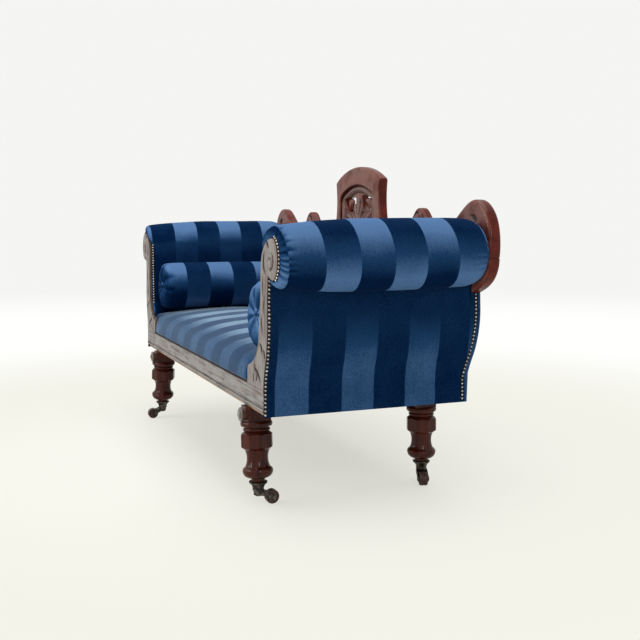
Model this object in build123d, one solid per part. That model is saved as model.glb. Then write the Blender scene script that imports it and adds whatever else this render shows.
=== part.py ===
# Victorian double-ended settee: two scroll arms, a low carved wooden back, turned legs on castors.
# Millimetres. X runs along the seat, the front faces -Y, Z is up and the floor is Z = 0.
from build123d import *
import math
import os

# Seat frame
rail_half_length = 774.0
front_face = -311.0
frame_depth = 614.0
rail_height = 70.0
leg_height = 272.0
front_rail_thickness = 39.0
rear_rail_thickness = 45.0
end_rail_thickness = 31.0
rail_bead = 7.0
rail_step = 3.0
rail_lower_moulding = 26.0
rail_cove = 6.0
stretcher_width = 45.0
stretcher_height = 45.0
corner_block_leg = 70.0
corner_block_height = 50.0

# Turned legs
front_leg_end_inset = 164.0
rear_leg_end_inset = 177.0
front_leg_inset = 33.0
rear_leg_inset = 48.0
front_leg_splay = 6.0
leg_block_width = 66.0
leg_block_height = 41.0
flange_radius = 45.5
flange_height = 14.0
flange_round = 3.0
groove_radius = 34.5
groove_height = 4.0
bead_radius = 38.5
bead_height = 10.0
collar_across_flats = 86.0
collar_height = 51.0
collar_chamfer = 9.0
collar_sides = 8
waist_radius = 30.0
waist_height = 48.0
waist_end_radius = 35.0
waist_foot = 2.0
bulb_radius = 43.0
bulb_height = 29.0
bulb_widest_height = 17.4
bulb_belly_depth = 5.0
bulb_belly_height = 6.0
bulb_shoulder_depth = 1.5
bulb_shoulder_drop = 4.0
bulb_top_depth = 6.0
neck_radius = 19.0
roundel_radius = 20.0
roundel_depth = 22.0
roundel_foot_radius = 16.4
roundel_foot_depth = 6.6
roundel_rim_start = 9.2
roundel_rim_end = 13.6
roundel_lip_radius = 17.2
roundel_lip_depth = 16.3
roundel_boss_radius = 12.4
roundel_boss_depth = 14.5

# Castors
castor_height = 66.0
cup_rim_radius = 26.0
cup_rim_height = 6.0
cup_rim_bevel = 2.0
cup_foot_radius = 16.0
cup_foot_height = 4.0
cup_flare_drop = 11.0
cup_height = 25.0
cup_floor = 7.0
spigot_radius = 12.0
swivel_pin_radius = 5.0
swivel_head_radius = 8.0
swivel_head_height = 3.0
running_clearance = 0.05
hub_radius = 13.0
hub_height = 12.5
hub_play = 0.3
castor_trail = 40.0
wheel_radius = 19.5
wheel_width = 24.0
wheel_side_gap = 0.8
wheel_tread_gap = 1.6
wheel_rim = 4.0
wheel_boss = 3.0
wheel_dish = 2.0
wheel_dish_slope = 1.0
tread_round_width = 3.0
tread_round_depth = 1.5
cheek_thickness = 3.6
cheek_radius = 8.5
cheek_land = 4.0
cheek_relief = 1.0
horn_drop = 2.0
axle_radius = 3.0
axle_head_radius = 5.0
axle_head_height = 1.5
castor_angles = {"front_right": 90.0, "front_left": 270.0, "rear_right": -20.0, "rear_left": 200.0}

# Scroll arms
scroll_reach = 64.0
scroll_rise = 347.0
scroll_sweep_radius = 91.0
scroll_radius = 59.0
scroll_tail_radius = 50.0
scroll_tail_bow = 3.5
scroll_eye_radius = 20.0
scroll_eye_height = 3.0
scroll_eye_round = 2.4
scroll_groove = 4.0
crevice_inset = 26.0
crevice_drop = 37.0
stem_flare = 16.0
stem_flare_share = 0.2
stem_flare_bow = -3.0
stem_swell = 32.0
stem_swell_share = 0.57
stem_swell_bow = 5.0
stem_neck_bow = -4.0
stem_width = 63.0
stem_inner_share = 0.455
stem_inner_spread = 6.0
stem_inner_bow = 3.0
foot_width = 140.0
foot_height = 40.0
foot_hollow_inset = 35.0
foot_hollow_rise = 50.0
nose_width = 14.0
nose_height = 16.0
facing_thickness = 12.0
stump_inset = 9.0
front_stump_thickness = 30.0
rear_stump_thickness = 42.0
roll_rail_radius = 30.0
tacking_rail_width = 22.0
tacking_rail_height = 36.0
tacking_rail_rise = 98.0

# Upholstery
cover_thickness = 6.0
cover_lap = 1.0
roll_rise = 11.0
roll_radius = 99.0
roll_front_radius = 84.0
roll_front_mouth = 62.0
roll_front_shoulder = 22.0
roll_front_turn = 5.0
roll_front_bow = 5.0
roll_front_lap = 6.0
roll_rear_radius = 96.0
roll_rear_mouth = 60.0
roll_rear_shoulder = 58.0
roll_rear_turn = 17.0
roll_rear_bow = 7.5
roll_rear_lift = 6.0
arm_pad_inset = 25.0
arm_pad_foot = 20.0
arm_pad_hollow = 4.0
arm_pad_hollow_share = 0.4
arm_pad_lean = 14.0
arm_pad_thickness = 40.0
arm_pad_edge = 12.0
seat_crown = 108.0
seat_end_fall = 13.0
seat_end_gap = 2.0
seat_front_bulge = 7.0
seat_bulge_rise = 32.4
seat_edge_height = 72.0
seat_edge_setback = 16.0
seat_back_fall = 12.0
seat_back_lap = 8.0
back_pad_thickness = 46.0
back_pad_seat = 12.0
back_pad_crown = 12.0
back_pad_lap = 42.0
back_pad_foot_slope = 6.0
back_pad_shoulder_depth = 24.0
back_pad_shoulder_drop = 14.0
back_pad_turn_depth = 40.0
back_pad_turn_drop = 3.0
back_pad_lip = 18.0
back_pad_notch_rise = 4.0
back_pad_notch_drop = 10.0
outside_back_bulge = 26.0
outside_back_top_bulge = 18.2
webbing_width = 50.0
webbing_thickness = 1.6
webbing_pitch = 180.0
webbing_across_count = 6
webbing_tack_inset = 13.0
bottom_cloth_thickness = 1.2
bottom_cloth_inset = 22.0
bottom_cloth_leg_room = 5.0
bolster_radius = 96.0
bolster_end_radius = 90.0
bolster_end_gap = 6.0
bolster_arm_gap = 3.0
bolster_dome = 26.0
bolster_set_back = 24.0
bolster_round_radius = 79.2
bolster_round_depth = 11.0
bolster_cap_radius = 59.4
bolster_cap_depth = 3.0
bolster_crown_radius = 36.0
bolster_crown_depth = 0.5
bolster_dimple = 5.0
bolster_button_radius = 13.0
bolster_button_height = 6.0
bolster_button_edge = 1.8
bolster_button_bevel = 1.0
soft_clearance = 0.4

# Wooden back; rises and drops are measured from its lower edge
board_thickness = 40.0
board_edge = 11.0
board_lift = 1.0
crest_half_width = 194.0
crest_waist = 8.0
crest_foot_rise = 116.0
crest_shoulder_rise = 256.0
crest_rise = 307.0
crest_corner = 10.0
crest_recess_half_width = 150.0
crest_recess_top_rise = 240.0
crest_recess_bottom_rise = 52.0
crest_recess_depth = 12.0
crest_recess_arch = 40.0
crest_recess_corner = 30.0
crest_drop_inner_x = 30.0
crest_drop_inner_rise = 203.0
crest_drop_outer_x = 118.0
crest_drop_outer_rise = 191.0
crest_drop_tip_x = 66.0
crest_drop_tip_rise = 142.0
crest_drop_outer_bow = 14.0
crest_drop_inner_bow = -11.0
crest_drop_bow_down = -10.0
crest_drop_round = 6.0
lobe_inset = 360.0
lobe_rise = 148.0
lobe_half_width = 48.0
lobe_height = 38.0
inner_dip_share = 0.63
inner_dip_rise = 68.0
inner_sweep_pull = 22.0
inner_sweep_lift = 16.0
outer_dip_share = 0.45
outer_dip_rise = 76.0
ear_inset = 12.0
ear_rise = 165.0
ear_reach = 68.0
ear_shoulder_reach = 96.0
ear_shoulder_drop = 40.0
ear_crown_inset = 27.0
ear_crown_lift = 23.0
ear_outer_rise = 52.0
ear_split_inset = 4.0
ear_drop = 102.0
ear_side_inset = 17.0
ear_side_lift = 6.0
ear_tip_inset = 52.0
ear_tip_half_width = 29.0
ear_tip_lift = 4.0
ear_inner_reach = 18.0
ear_inner_lift = 24.0
upright_width = 44.0
upright_thickness = 32.0
upright_lap = 32.0

# Levels and faces that follow from the sizes above
rail_bottom = leg_height
rail_top = rail_bottom + rail_height
back_face = front_face + frame_depth
scroll_x = rail_half_length + scroll_reach
scroll_z = rail_top + scroll_rise
crevice = (scroll_x - crevice_inset, scroll_z - crevice_drop)
roll_z = scroll_z + roll_rise
facing_back = front_face + facing_thickness
board_front = back_face
board_bottom = scroll_z + board_lift
crest_foot_z = board_bottom + crest_foot_rise
crest_shoulder_z = board_bottom + crest_shoulder_rise
lobe_x = scroll_x - lobe_inset
lobe_top = board_bottom + lobe_rise
ear_x = scroll_x - ear_inset
ear_top = board_bottom + ear_rise
ear_outer_x = scroll_x + ear_reach
ear_outer_z = board_bottom + ear_outer_rise
ear_split = (ear_outer_x - ear_split_inset, board_bottom)
arm_inner_x = scroll_x - scroll_sweep_radius - arm_pad_inset
front_leg_x = rail_half_length - front_leg_end_inset
rear_leg_x = rail_half_length - rear_leg_end_inset
front_leg_y = front_face + front_leg_inset
rear_leg_y = back_face - rear_leg_inset
back_pad_rear = back_face - rear_rail_thickness + back_pad_seat
back_pad_front = back_pad_rear - back_pad_thickness
bolster_front = front_face + bolster_set_back
bolster_length = back_pad_front - back_pad_crown - bolster_end_gap - bolster_front
half_root = math.sqrt(0.5)


def board(outline, front, thickness):
    """Extrude an outline drawn in X and Z backwards from the plane Y = front."""
    plane = Plane(origin=(0, front + thickness, 0), x_dir=(1, 0, 0), z_dir=(0, -1, 0))
    return extrude(plane * outline, thickness)


def bar(outline, start, end):
    """Extrude an outline drawn in Y and Z along X from start to end."""
    return extrude(Plane.YZ.offset(start) * outline, end - start)


def block(x_range, y_range, z_range):
    """A box given by its three ranges."""
    size = [high - low for low, high in (x_range, y_range, z_range)]
    middle = [(high + low) / 2 for low, high in (x_range, y_range, z_range)]
    return Pos(*middle) * Box(*size)


def chain(*corners):
    """Straight lines through the corners, as a list of edges."""
    return [Line(a, b) for a, b in zip(corners, corners[1:])]


def bowed(start, end, bow, bow_up=0.0):
    """An arc whose middle stands off the middle of its chord by the bow, sideways and upwards."""
    middle = ((start[0] + end[0]) / 2 + bow, (start[1] + end[1]) / 2 + bow_up)
    return ThreePointArc(start, middle, end)


def turned(edges):
    """Spin a profile drawn as radius and height round the Z axis."""
    return revolve(Plane.XZ * make_face(edges), Axis.Z)


def dome(radius, base, height):
    """Round cap of a turned profile: an arc centred on the axis, from its rim to its top."""
    sphere = (radius**2 + height**2) / (2 * height)
    half_turn = math.asin(radius / sphere) / 2
    middle = (sphere * math.sin(half_turn), base + height - sphere * (1 - math.cos(half_turn)))
    return ThreePointArc((radius, base), middle, (0, base + height))


def mirrored(piece):
    """The same piece on the other end of the settee."""
    return mirror(piece, about=Plane.YZ)


def outer_stem_edges():
    """The outer edge of the arm from the rail up to the crevice under the volute."""
    rail_corner = (rail_half_length, rail_top)
    flare = (rail_half_length + stem_flare, rail_top + stem_flare_share * scroll_rise)
    swell = (rail_half_length + stem_swell, rail_top + stem_swell_share * scroll_rise)
    return [
        bowed(rail_corner, flare, stem_flare_bow),
        bowed(flare, swell, stem_swell_bow),
        bowed(swell, crevice, stem_neck_bow),
    ]


def facing_outline():
    """The scroll facing: a flared foot, a slim stem and a volute that curls outwards."""
    foot_x = rail_half_length - foot_width
    stem_x = rail_half_length + stem_swell - stem_width - cover_lap
    nose = (foot_x, rail_top + foot_height)
    nose_middle = (foot_x + nose_width * (1 - half_root), nose[1] + nose_height * half_root)
    nose_end = (foot_x + nose_width, nose[1] + nose_height)
    hollow = (stem_x - foot_hollow_inset, rail_top + foot_height + foot_hollow_rise)
    stem_low = (stem_x - stem_inner_spread, rail_top + stem_inner_share * scroll_rise)
    sweep_z = scroll_z + scroll_radius - scroll_sweep_radius
    sweep_left = (scroll_x - scroll_sweep_radius, sweep_z)
    sweep_middle = (scroll_x - scroll_sweep_radius * half_root, sweep_z + scroll_sweep_radius * half_root)
    top = (scroll_x, scroll_z + scroll_radius)
    head_middle = (scroll_x + scroll_radius * half_root, scroll_z + scroll_radius * half_root)
    right = (scroll_x + scroll_radius, scroll_z)
    tail_x = right[0] - scroll_tail_radius
    tail_middle = (tail_x + scroll_tail_radius * half_root, scroll_z - scroll_tail_radius * half_root)
    bottom = (tail_x, scroll_z - scroll_tail_radius)
    edges = [
        Line((rail_half_length, rail_top), (foot_x, rail_top)),
        Line((foot_x, rail_top), nose),
        ThreePointArc(nose, nose_middle, nose_end),
        ThreePointArc(nose_end, hollow, stem_low),
        bowed(stem_low, sweep_left, stem_inner_bow),
        ThreePointArc(sweep_left, sweep_middle, top),
        ThreePointArc(top, head_middle, right),
        ThreePointArc(right, tail_middle, bottom),
        bowed(bottom, crevice, 0, -scroll_tail_bow),
    ]
    return make_face(edges + outer_stem_edges())


def scroll_facing():
    """Show-wood facing of the right arm, with its volute groove and raised eye."""
    facing = board(facing_outline(), front_face, facing_thickness)
    at_eye = Pos(scroll_x, 0, scroll_z) * Rot(90, 0, 0)
    ring = Circle(scroll_eye_radius + scroll_groove) - Circle(scroll_eye_radius)
    groove = extrude(at_eye * Pos(0, 0, -front_face - scroll_groove) * ring, scroll_groove)
    eye = extrude(at_eye * Pos(0, 0, -front_face) * Circle(scroll_eye_radius), scroll_eye_height)
    eye = fillet(eye.edges().group_by(Axis.Y)[0], scroll_eye_round)
    return facing - groove + eye


def arm_stump(front, thickness):
    """Hidden scroll-shaped post that carries the facing or the ear, standing on the rail."""
    left = rail_half_length - foot_width + stump_inset
    right = rail_half_length - stump_inset
    foot = block((left, right), (front, front + thickness), (rail_top, rail_top + 2 * stump_inset))
    return board(offset(facing_outline(), -stump_inset), front, thickness) + foot


def front_rail():
    """Moulded front rail: top bead, flat fascia, and stepped beads along the lower edge."""
    fascia = front_face + rail_step
    recess = fascia + rail_step
    foot = recess + 2 * rail_step
    inside = front_face + front_rail_thickness
    bead_low = rail_top - rail_bead
    moulding_top = rail_bottom + rail_lower_moulding
    rib_low = rail_bottom + rail_lower_moulding / 2
    rib_high = rib_low + rail_bead
    rib_middle = (front_face, (rib_high + rib_low) / 2)
    cove_middle = (recess + rail_step, rail_bottom + rail_cove)
    edges = [
        ThreePointArc((fascia, rail_top), (front_face, rail_top - rail_bead / 2), (fascia, bead_low)),
        Line((fascia, bead_low), (fascia, moulding_top)),
        Line((fascia, moulding_top), (recess, moulding_top - rail_step)),
        Line((recess, moulding_top - rail_step), (recess, rib_high)),
        ThreePointArc((recess, rib_high), rib_middle, (recess, rib_low)),
        ThreePointArc((recess, rib_low), cove_middle, (foot, rail_bottom)),
    ]
    edges += chain((foot, rail_bottom), (inside, rail_bottom), (inside, rail_top), (fascia, rail_top))
    return bar(make_face(edges), -rail_half_length, rail_half_length)


def rear_rail():
    """Plain rear rail behind the seat."""
    half = rail_half_length - cover_thickness
    return block((-half, half), (back_face - rear_rail_thickness, back_face), (rail_bottom, rail_top))


def end_rail():
    """Right end rail, tenoned between the front and rear rails."""
    outer = rail_half_length - cover_thickness
    return block(
        (outer - end_rail_thickness, outer),
        (front_face + front_rail_thickness, back_face - rear_rail_thickness),
        (rail_bottom, rail_top),
    )


def seat_stretcher():
    """Middle rail across the seat frame, kept low so that the webbing can give above it."""
    half = stretcher_width / 2
    return block(
        (-half, half),
        (front_face + front_rail_thickness, back_face - rear_rail_thickness),
        (rail_bottom, rail_bottom + stretcher_height),
    )


def corner_blocks():
    """Four glued triangular blocks in the corners of the seat frame."""
    x = rail_half_length - cover_thickness - end_rail_thickness
    low = rail_bottom + (rail_height - corner_block_height) / 2
    blocks = []
    for y, inward in ((front_face + front_rail_thickness, 1), (back_face - rear_rail_thickness, -1)):
        corners = [(x, y), (x - corner_block_leg, y), (x, y + inward * corner_block_leg), (x, y)]
        one = extrude(Pos(0, 0, low) * make_face(chain(*corners)), corner_block_height)
        blocks += [one, mirrored(one)]
    return Compound(children=blocks)


def turned_leg(splay):
    """Turned leg with a square top block and an octagonal collar, its top centre at the origin."""
    block_low = -leg_block_height
    flange_low = block_low - flange_height
    flange_middle = (flange_radius, flange_low + flange_height / 2)
    flange_edge = flange_radius - flange_round
    groove_low = flange_low - groove_height
    bead_low = groove_low - bead_height
    bead_middle = (bead_radius, bead_low + bead_height / 2)
    collar_low = bead_low - collar_height
    waist_low = collar_low - waist_height
    waist_start = (waist_end_radius, waist_low + waist_foot)
    waist_middle = (waist_radius, (waist_low + collar_low) / 2)
    bulb_low = waist_low - bulb_height
    bulb_belly = (bulb_radius - bulb_belly_depth, bulb_low + bulb_belly_height)
    bulb_widest = (bulb_radius, bulb_low + bulb_widest_height)
    bulb_shoulder = (bulb_radius - bulb_shoulder_depth, waist_low - bulb_shoulder_drop)
    bulb_top = (bulb_radius - bulb_top_depth, waist_low)
    neck_low = castor_height - leg_height
    spigot_low = neck_low - cup_height + cup_floor
    profile = chain(
        (0, spigot_low),
        (spigot_radius, spigot_low),
        (neck_radius, neck_low),
        (neck_radius, bulb_low),
    )
    profile += [
        ThreePointArc((neck_radius, bulb_low), bulb_belly, bulb_widest),
        ThreePointArc(bulb_widest, bulb_shoulder, bulb_top),
        Line(bulb_top, waist_start),
        ThreePointArc(waist_start, waist_middle, (waist_end_radius, collar_low)),
        Line((waist_end_radius, collar_low), (groove_radius, bead_low)),
        ThreePointArc((groove_radius, bead_low), bead_middle, (groove_radius, groove_low)),
        Line((groove_radius, groove_low), (groove_radius, flange_low)),
        Line((groove_radius, flange_low), (flange_edge, flange_low)),
        ThreePointArc((flange_edge, flange_low), flange_middle, (flange_edge, block_low)),
    ]
    profile += chain((flange_edge, block_low), (0, block_low), (0, spigot_low))
    apothem = collar_across_flats / 2
    corner = apothem / math.cos(math.pi / collar_sides)
    octagon = RegularPolygon(apothem, collar_sides, major_radius=False)
    prism = extrude(Pos(0, 0, collar_low) * octagon, collar_height)
    cone = turned(
        chain(
            (0, collar_low),
            (waist_end_radius, collar_low),
            (corner, collar_low + collar_chamfer),
            (corner, bead_low - collar_chamfer),
            (groove_radius, bead_low),
            (0, bead_low),
            (0, collar_low),
        )
    )
    head = Box(leg_block_width, leg_block_width, 2 * leg_block_height)
    above = Pos(0, 0, leg_height / 2) * Box(leg_height, leg_height, leg_height)
    return Rot(0, -splay, 0) * (turned(profile) + (prism & cone) + head) - above


def leg_roundel():
    """Turned button that faces the block of a front leg, with its back on Y = 0."""
    profile = chain(
        (0, 0),
        (roundel_foot_radius, 0),
        (roundel_foot_radius, roundel_foot_depth),
        (roundel_radius, roundel_rim_start),
        (roundel_radius, roundel_rim_end),
        (roundel_lip_radius, roundel_lip_depth),
        (roundel_boss_radius, roundel_boss_depth),
    )
    profile += [
        dome(roundel_boss_radius, roundel_boss_depth, roundel_depth - roundel_boss_depth),
        Line((0, roundel_depth), (0, 0)),
    ]
    return Rot(90, 0, 0) * turned(profile)


def castor_cup(leg):
    """Socket round the foot of the leg, with the headed swivel pin below it."""
    cup_low = castor_height - cup_height
    hub_low = cup_low - hub_play - hub_height
    head_top = hub_low - hub_play
    head_low = head_top - swivel_head_height
    foot = (cup_foot_radius, cup_low + cup_foot_height)
    flare = ((cup_foot_radius + cup_rim_radius) / 2 - cup_rim_bevel, castor_height - cup_flare_drop)
    rim_foot = (cup_rim_radius - cup_rim_bevel, castor_height - cup_rim_height)
    profile = chain(
        (0, head_low),
        (swivel_head_radius, head_low),
        (swivel_head_radius, head_top),
        (swivel_pin_radius, head_top),
        (swivel_pin_radius, cup_low),
        (cup_foot_radius, cup_low),
        foot,
    )
    profile += [ThreePointArc(foot, flare, rim_foot)]
    profile += chain(
        rim_foot,
        (cup_rim_radius, castor_height - cup_rim_height + cup_rim_bevel),
        (cup_rim_radius, castor_height - cup_rim_bevel / 2),
        (cup_rim_radius - cup_rim_bevel, castor_height),
        (0, castor_height),
        (0, head_low),
    )
    return turned(profile) - leg


def castor_fork(axle_at, half_width):
    """Horn that turns on the swivel pin and carries the axle in two cheeks."""
    hub_top = castor_height - cup_height - hub_play
    hub_low = hub_top - hub_height
    cheek_high = wheel_radius + cheek_radius - cheek_relief
    cheek_low = wheel_radius - cheek_radius + cheek_relief
    side = make_face(
        chain(
            (0, hub_low),
            (0, hub_top),
            (hub_radius, hub_top),
            (castor_trail + cheek_land, cheek_high),
            (castor_trail + cheek_land, cheek_low),
            (castor_trail - cheek_land, cheek_low - cheek_relief / 2),
            (hub_radius, hub_low - horn_drop),
            (0, hub_low),
        )
    )
    horn = extrude(Rot(90, 0, 0) * side, half_width, both=True)
    horn += axle_at * Cylinder(cheek_radius, 2 * half_width)
    horn += Pos(0, 0, (hub_low + hub_top) / 2) * Cylinder(hub_radius, hub_height)
    wheel_room = axle_at * Cylinder(wheel_radius + wheel_tread_gap, wheel_width + 2 * wheel_side_gap)
    pin_bore = Cylinder(swivel_pin_radius + running_clearance, 4 * castor_height)
    head_room = Cylinder(swivel_head_radius + hub_play, swivel_head_height + 2 * hub_play)
    head_middle = hub_low - hub_play - swivel_head_height / 2
    axle_bore = axle_at * Cylinder(axle_radius, 4 * half_width)
    return horn - wheel_room - pin_bore - Pos(0, 0, head_middle) * head_room - axle_bore


def castor_axle(half_width):
    """Axle with a flat head at each end, along Z."""
    axle = Cylinder(axle_radius, 2 * half_width)
    for end in (-1, 1):
        head = Cylinder(axle_head_radius, axle_head_height)
        axle += Pos(0, 0, end * (half_width + axle_head_height / 2)) * head
    return axle


def castor_wheel():
    """Turned wheel with dished sides and a rounded tread, along Z."""
    half = wheel_width / 2
    floor = half - wheel_dish
    bore = axle_radius + running_clearance
    rim_radius = wheel_radius - wheel_rim
    boss_radius = axle_head_radius + wheel_boss
    side = [
        (boss_radius, half),
        (boss_radius + wheel_dish_slope, floor),
        (rim_radius - wheel_dish_slope, floor),
        (rim_radius, half),
        (wheel_radius - tread_round_depth, half),
        (wheel_radius, half - tread_round_width),
    ]
    far_side = [(radius, -height) for radius, height in side]
    return turned(chain((bore, -half), *far_side, *side[::-1], (bore, half), (bore, -half)))


def castor(angle, leg):
    """Cup, fork, axle and wheel round an upright swivel axis at the origin, trailing at the angle."""
    half_width = wheel_width / 2 + wheel_side_gap + cheek_thickness
    axle_at = Pos(castor_trail, 0, wheel_radius) * Rot(90, 0, 0)
    turn = Rot(0, 0, angle)
    return {
        "castor_cup": castor_cup(leg),
        "castor_fork": turn * castor_fork(axle_at, half_width),
        "castor_axle": turn * axle_at * castor_axle(half_width),
        "castor_wheel": turn * axle_at * castor_wheel(),
    }


def arm_roll_rail():
    """Round core of the arm roll, between the two stumps."""
    front = facing_back + front_stump_thickness
    rear = board_front - rear_stump_thickness
    middle = Pos(scroll_x, (front + rear) / 2, scroll_z) * Rot(90, 0, 0)
    return middle * Cylinder(roll_rail_radius, rear - front)


def arm_tacking_rail():
    """Slat near the seat that the inside arm's cover is tacked to."""
    low = rail_top + tacking_rail_rise
    return block(
        (rail_half_length - tacking_rail_width, rail_half_length),
        (facing_back + front_stump_thickness, board_front - rear_stump_thickness),
        (low, low + tacking_rail_height),
    )


def arm_roll():
    """The stuffed roll: a barrel with rounded shoulders, drawn in to the facing and the ear."""
    front = facing_back - roll_front_lap
    rear = board_front
    front_mouth = (front, roll_front_mouth)
    front_turn = (front + roll_front_turn, (roll_front_mouth + roll_front_radius) / 2 + roll_front_bow)
    front_shoulder = (front + roll_front_shoulder, roll_front_radius)
    rear_mouth = (rear, roll_rear_mouth)
    rear_turn = (rear - roll_rear_turn, (roll_rear_mouth + roll_rear_radius) / 2 + roll_rear_bow)
    rear_shoulder = (rear - roll_rear_shoulder, roll_rear_radius)
    profile = [
        Line((front, 0), front_mouth),
        ThreePointArc(front_mouth, front_turn, front_shoulder),
        ThreePointArc(front_shoulder, ((front + rear) / 2, roll_radius), rear_shoulder),
        ThreePointArc(rear_shoulder, rear_turn, rear_mouth),
        Line(rear_mouth, (rear, 0)),
        Line((rear, 0), (front, 0)),
    ]
    plane = Plane(origin=(0, 0, 0), x_dir=(0, 1, 0), z_dir=(1, 0, 0))
    level_roll = Pos(0, -front, 0) * revolve(plane * make_face(profile), Axis.Y)
    tilt = math.degrees(math.atan2(roll_rear_lift, rear - front))
    return Pos(scroll_x, front, roll_z) * Rot(tilt, 0, 0) * level_roll


def inside_arm():
    """Padded inner face of the arm, from the rail up into the roll."""
    foot = (arm_inner_x - arm_pad_foot, rail_top)
    hollow = (arm_inner_x - arm_pad_hollow, rail_top + arm_pad_hollow_share * scroll_rise)
    top = (arm_inner_x + arm_pad_lean, roll_z)
    back_x = arm_inner_x + arm_pad_thickness
    edges = [ThreePointArc(foot, hollow, top)] + chain(top, (back_x, roll_z), (back_x, rail_top), foot)
    pad = board(make_face(edges), facing_back, board_front - facing_back)
    at_front = pad.edges().filter_by(lambda edge: abs(edge.center().Y - facing_back) < soft_clearance)
    return fillet(at_front.sort_by(Axis.X)[0], arm_pad_edge)


def outside_arm():
    """Curved outer panel of the arm, from the rail's underside to the roll."""
    low = rail_bottom - cover_lap
    outer = outer_stem_edges()
    inner = [Pos(-cover_thickness, 0) * edge for edge in outer]
    foot_out = (rail_half_length, low)
    foot_in = (rail_half_length - cover_thickness, low)
    ends = [
        Line(outer[-1] @ 1, inner[-1] @ 1),
        Line(outer[0] @ 0, foot_out),
        Line(foot_out, foot_in),
        Line(foot_in, inner[0] @ 0),
    ]
    depth = back_face + outside_back_bulge - facing_back
    sheet = board(make_face(outer + inner + ends), facing_back, depth)
    return sheet - bar(behind_back_outline(), 0, 2 * scroll_x)


def outside_back_edges(shift):
    """The bulged line of the outside back in Y and Z, moved back by the shift."""
    y = back_face + shift
    bulge = (y + outside_back_bulge, (rail_top + board_bottom) / 2)
    return [
        Line((y, rail_bottom - cover_lap), (y, rail_top)),
        ThreePointArc((y, rail_top), bulge, (y + outside_back_top_bulge, board_bottom)),
    ]


def behind_back_outline():
    """Everything behind the inner face of the outside back, up to the rolls."""
    edges = outside_back_edges(0)
    far = 2 * back_face
    start = edges[0] @ 0
    end = edges[1] @ 1
    return make_face(edges + chain((end.X, end.Y), (far, end.Y), (far, start.Y), (start.X, start.Y)))


def outside_back():
    """Cover stretched over the back of the frame between the arms."""
    inner = outside_back_edges(0)
    outer = outside_back_edges(cover_thickness)
    edges = inner + outer + [Line(inner[0] @ 0, outer[0] @ 0), Line(inner[1] @ 1, outer[1] @ 1)]
    return bar(make_face(edges), -rail_half_length, rail_half_length)


def seat_section(height):
    """Seat outline in Y and Z: stuffed over the front rail, crowned, and down behind to the back pad."""
    front = front_face + rail_step
    back = back_pad_front + seat_back_lap
    bulge = (front - seat_front_bulge, rail_top + seat_bulge_rise)
    edge = (front + seat_edge_setback, rail_top + seat_edge_height)
    crown = ((front + back) / 2, rail_top + height)
    rear = (back, rail_top + height - seat_back_fall)
    edges = [ThreePointArc((front, rail_top), bulge, edge), ThreePointArc(edge, crown, rear)]
    return make_face(edges + chain(rear, (back, rail_top), (front, rail_top)))


def seat_pad():
    """Hair-stuffed seat, crowned both ways, reaching under the inside arms."""
    end = arm_inner_x - seat_end_gap
    end_height = seat_crown - seat_end_fall
    sections = []
    for x, height in ((-end, end_height), (0, seat_crown), (end, end_height)):
        sections.append(Plane.YZ.offset(x) * seat_section(height))
    return loft(sections)


def seat_webbing():
    """Interlaced straps on top of the rails, as one layer."""
    half = webbing_width / 2
    layer = (rail_top, rail_top + webbing_thickness)
    front = front_face + webbing_tack_inset
    rear = back_face - webbing_tack_inset
    end = rail_half_length - cover_thickness - webbing_tack_inset
    straps = block((-end, end), (-half, half), layer)
    for y in (-webbing_pitch, webbing_pitch):
        straps += block((-end, end), (y - half, y + half), layer)
    for i in range(webbing_across_count):
        x = (i - (webbing_across_count - 1) / 2) * webbing_pitch
        straps += block((x - half, x + half), (front, rear), layer)
    return straps


def back_pad():
    """Inside back: a padded panel between the arms that laps the lower edge of the wooden back."""
    front = back_pad_front
    top = board_bottom + back_pad_lap
    foot = (front + back_pad_foot_slope, rail_top)
    crown = (front - back_pad_crown, (rail_top + top) / 2)
    shoulder = (front + back_pad_shoulder_depth, top - back_pad_shoulder_drop)
    turn = (front + back_pad_turn_depth, top - back_pad_turn_drop)
    lip = (board_front - back_pad_lip, top)
    edges = [ThreePointArc(foot, crown, shoulder), ThreePointArc(shoulder, turn, lip)]
    edges += chain(
        lip,
        (board_front, top),
        (board_front, board_bottom + back_pad_notch_rise),
        (back_pad_rear, board_bottom - back_pad_notch_drop),
        (back_pad_rear, rail_top),
        foot,
    )
    half = arm_inner_x + arm_pad_thickness / 2
    return bar(make_face(edges), -half, half)


def bottom_cloth(legs):
    """Dust cloth tacked under the rails, cut round the leg blocks."""
    half = rail_half_length - bottom_cloth_inset
    cloth = block(
        (-half, half),
        (front_face + bottom_cloth_inset, back_face - bottom_cloth_inset),
        (rail_bottom - bottom_cloth_thickness, rail_bottom),
    )
    room = leg_block_width + 2 * bottom_cloth_leg_room
    for x, y in legs:
        cloth -= Pos(x, y, rail_bottom) * Box(room, room, leg_block_height)
    return cloth


def bolster():
    """Loose bolster along the arm, drawn in at the ends to a flat for the button."""
    half = bolster_length / 2
    shoulder = (half - bolster_dome, bolster_end_radius)
    rounding = (half - bolster_round_depth, bolster_round_radius)
    cap = (half - bolster_cap_depth, bolster_cap_radius)
    crown = (half - bolster_crown_depth, bolster_crown_radius)
    dimple = (half - bolster_dimple, bolster_button_radius)
    far = [(-y, radius) for y, radius in (shoulder, rounding, cap, crown, dimple)]
    profile = [
        ThreePointArc(far[0], (0, bolster_radius), shoulder),
        ThreePointArc(shoulder, rounding, cap),
        ThreePointArc(cap, crown, dimple),
        ThreePointArc(far[0], far[1], far[2]),
        ThreePointArc(far[2], far[3], far[4]),
    ]
    profile += chain(dimple, (dimple[0], 0), (far[4][0], 0), far[4])
    plane = Plane(origin=(0, 0, 0), x_dir=(0, 1, 0), z_dir=(1, 0, 0))
    return revolve(plane * make_face(profile), Axis.Y)


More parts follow.
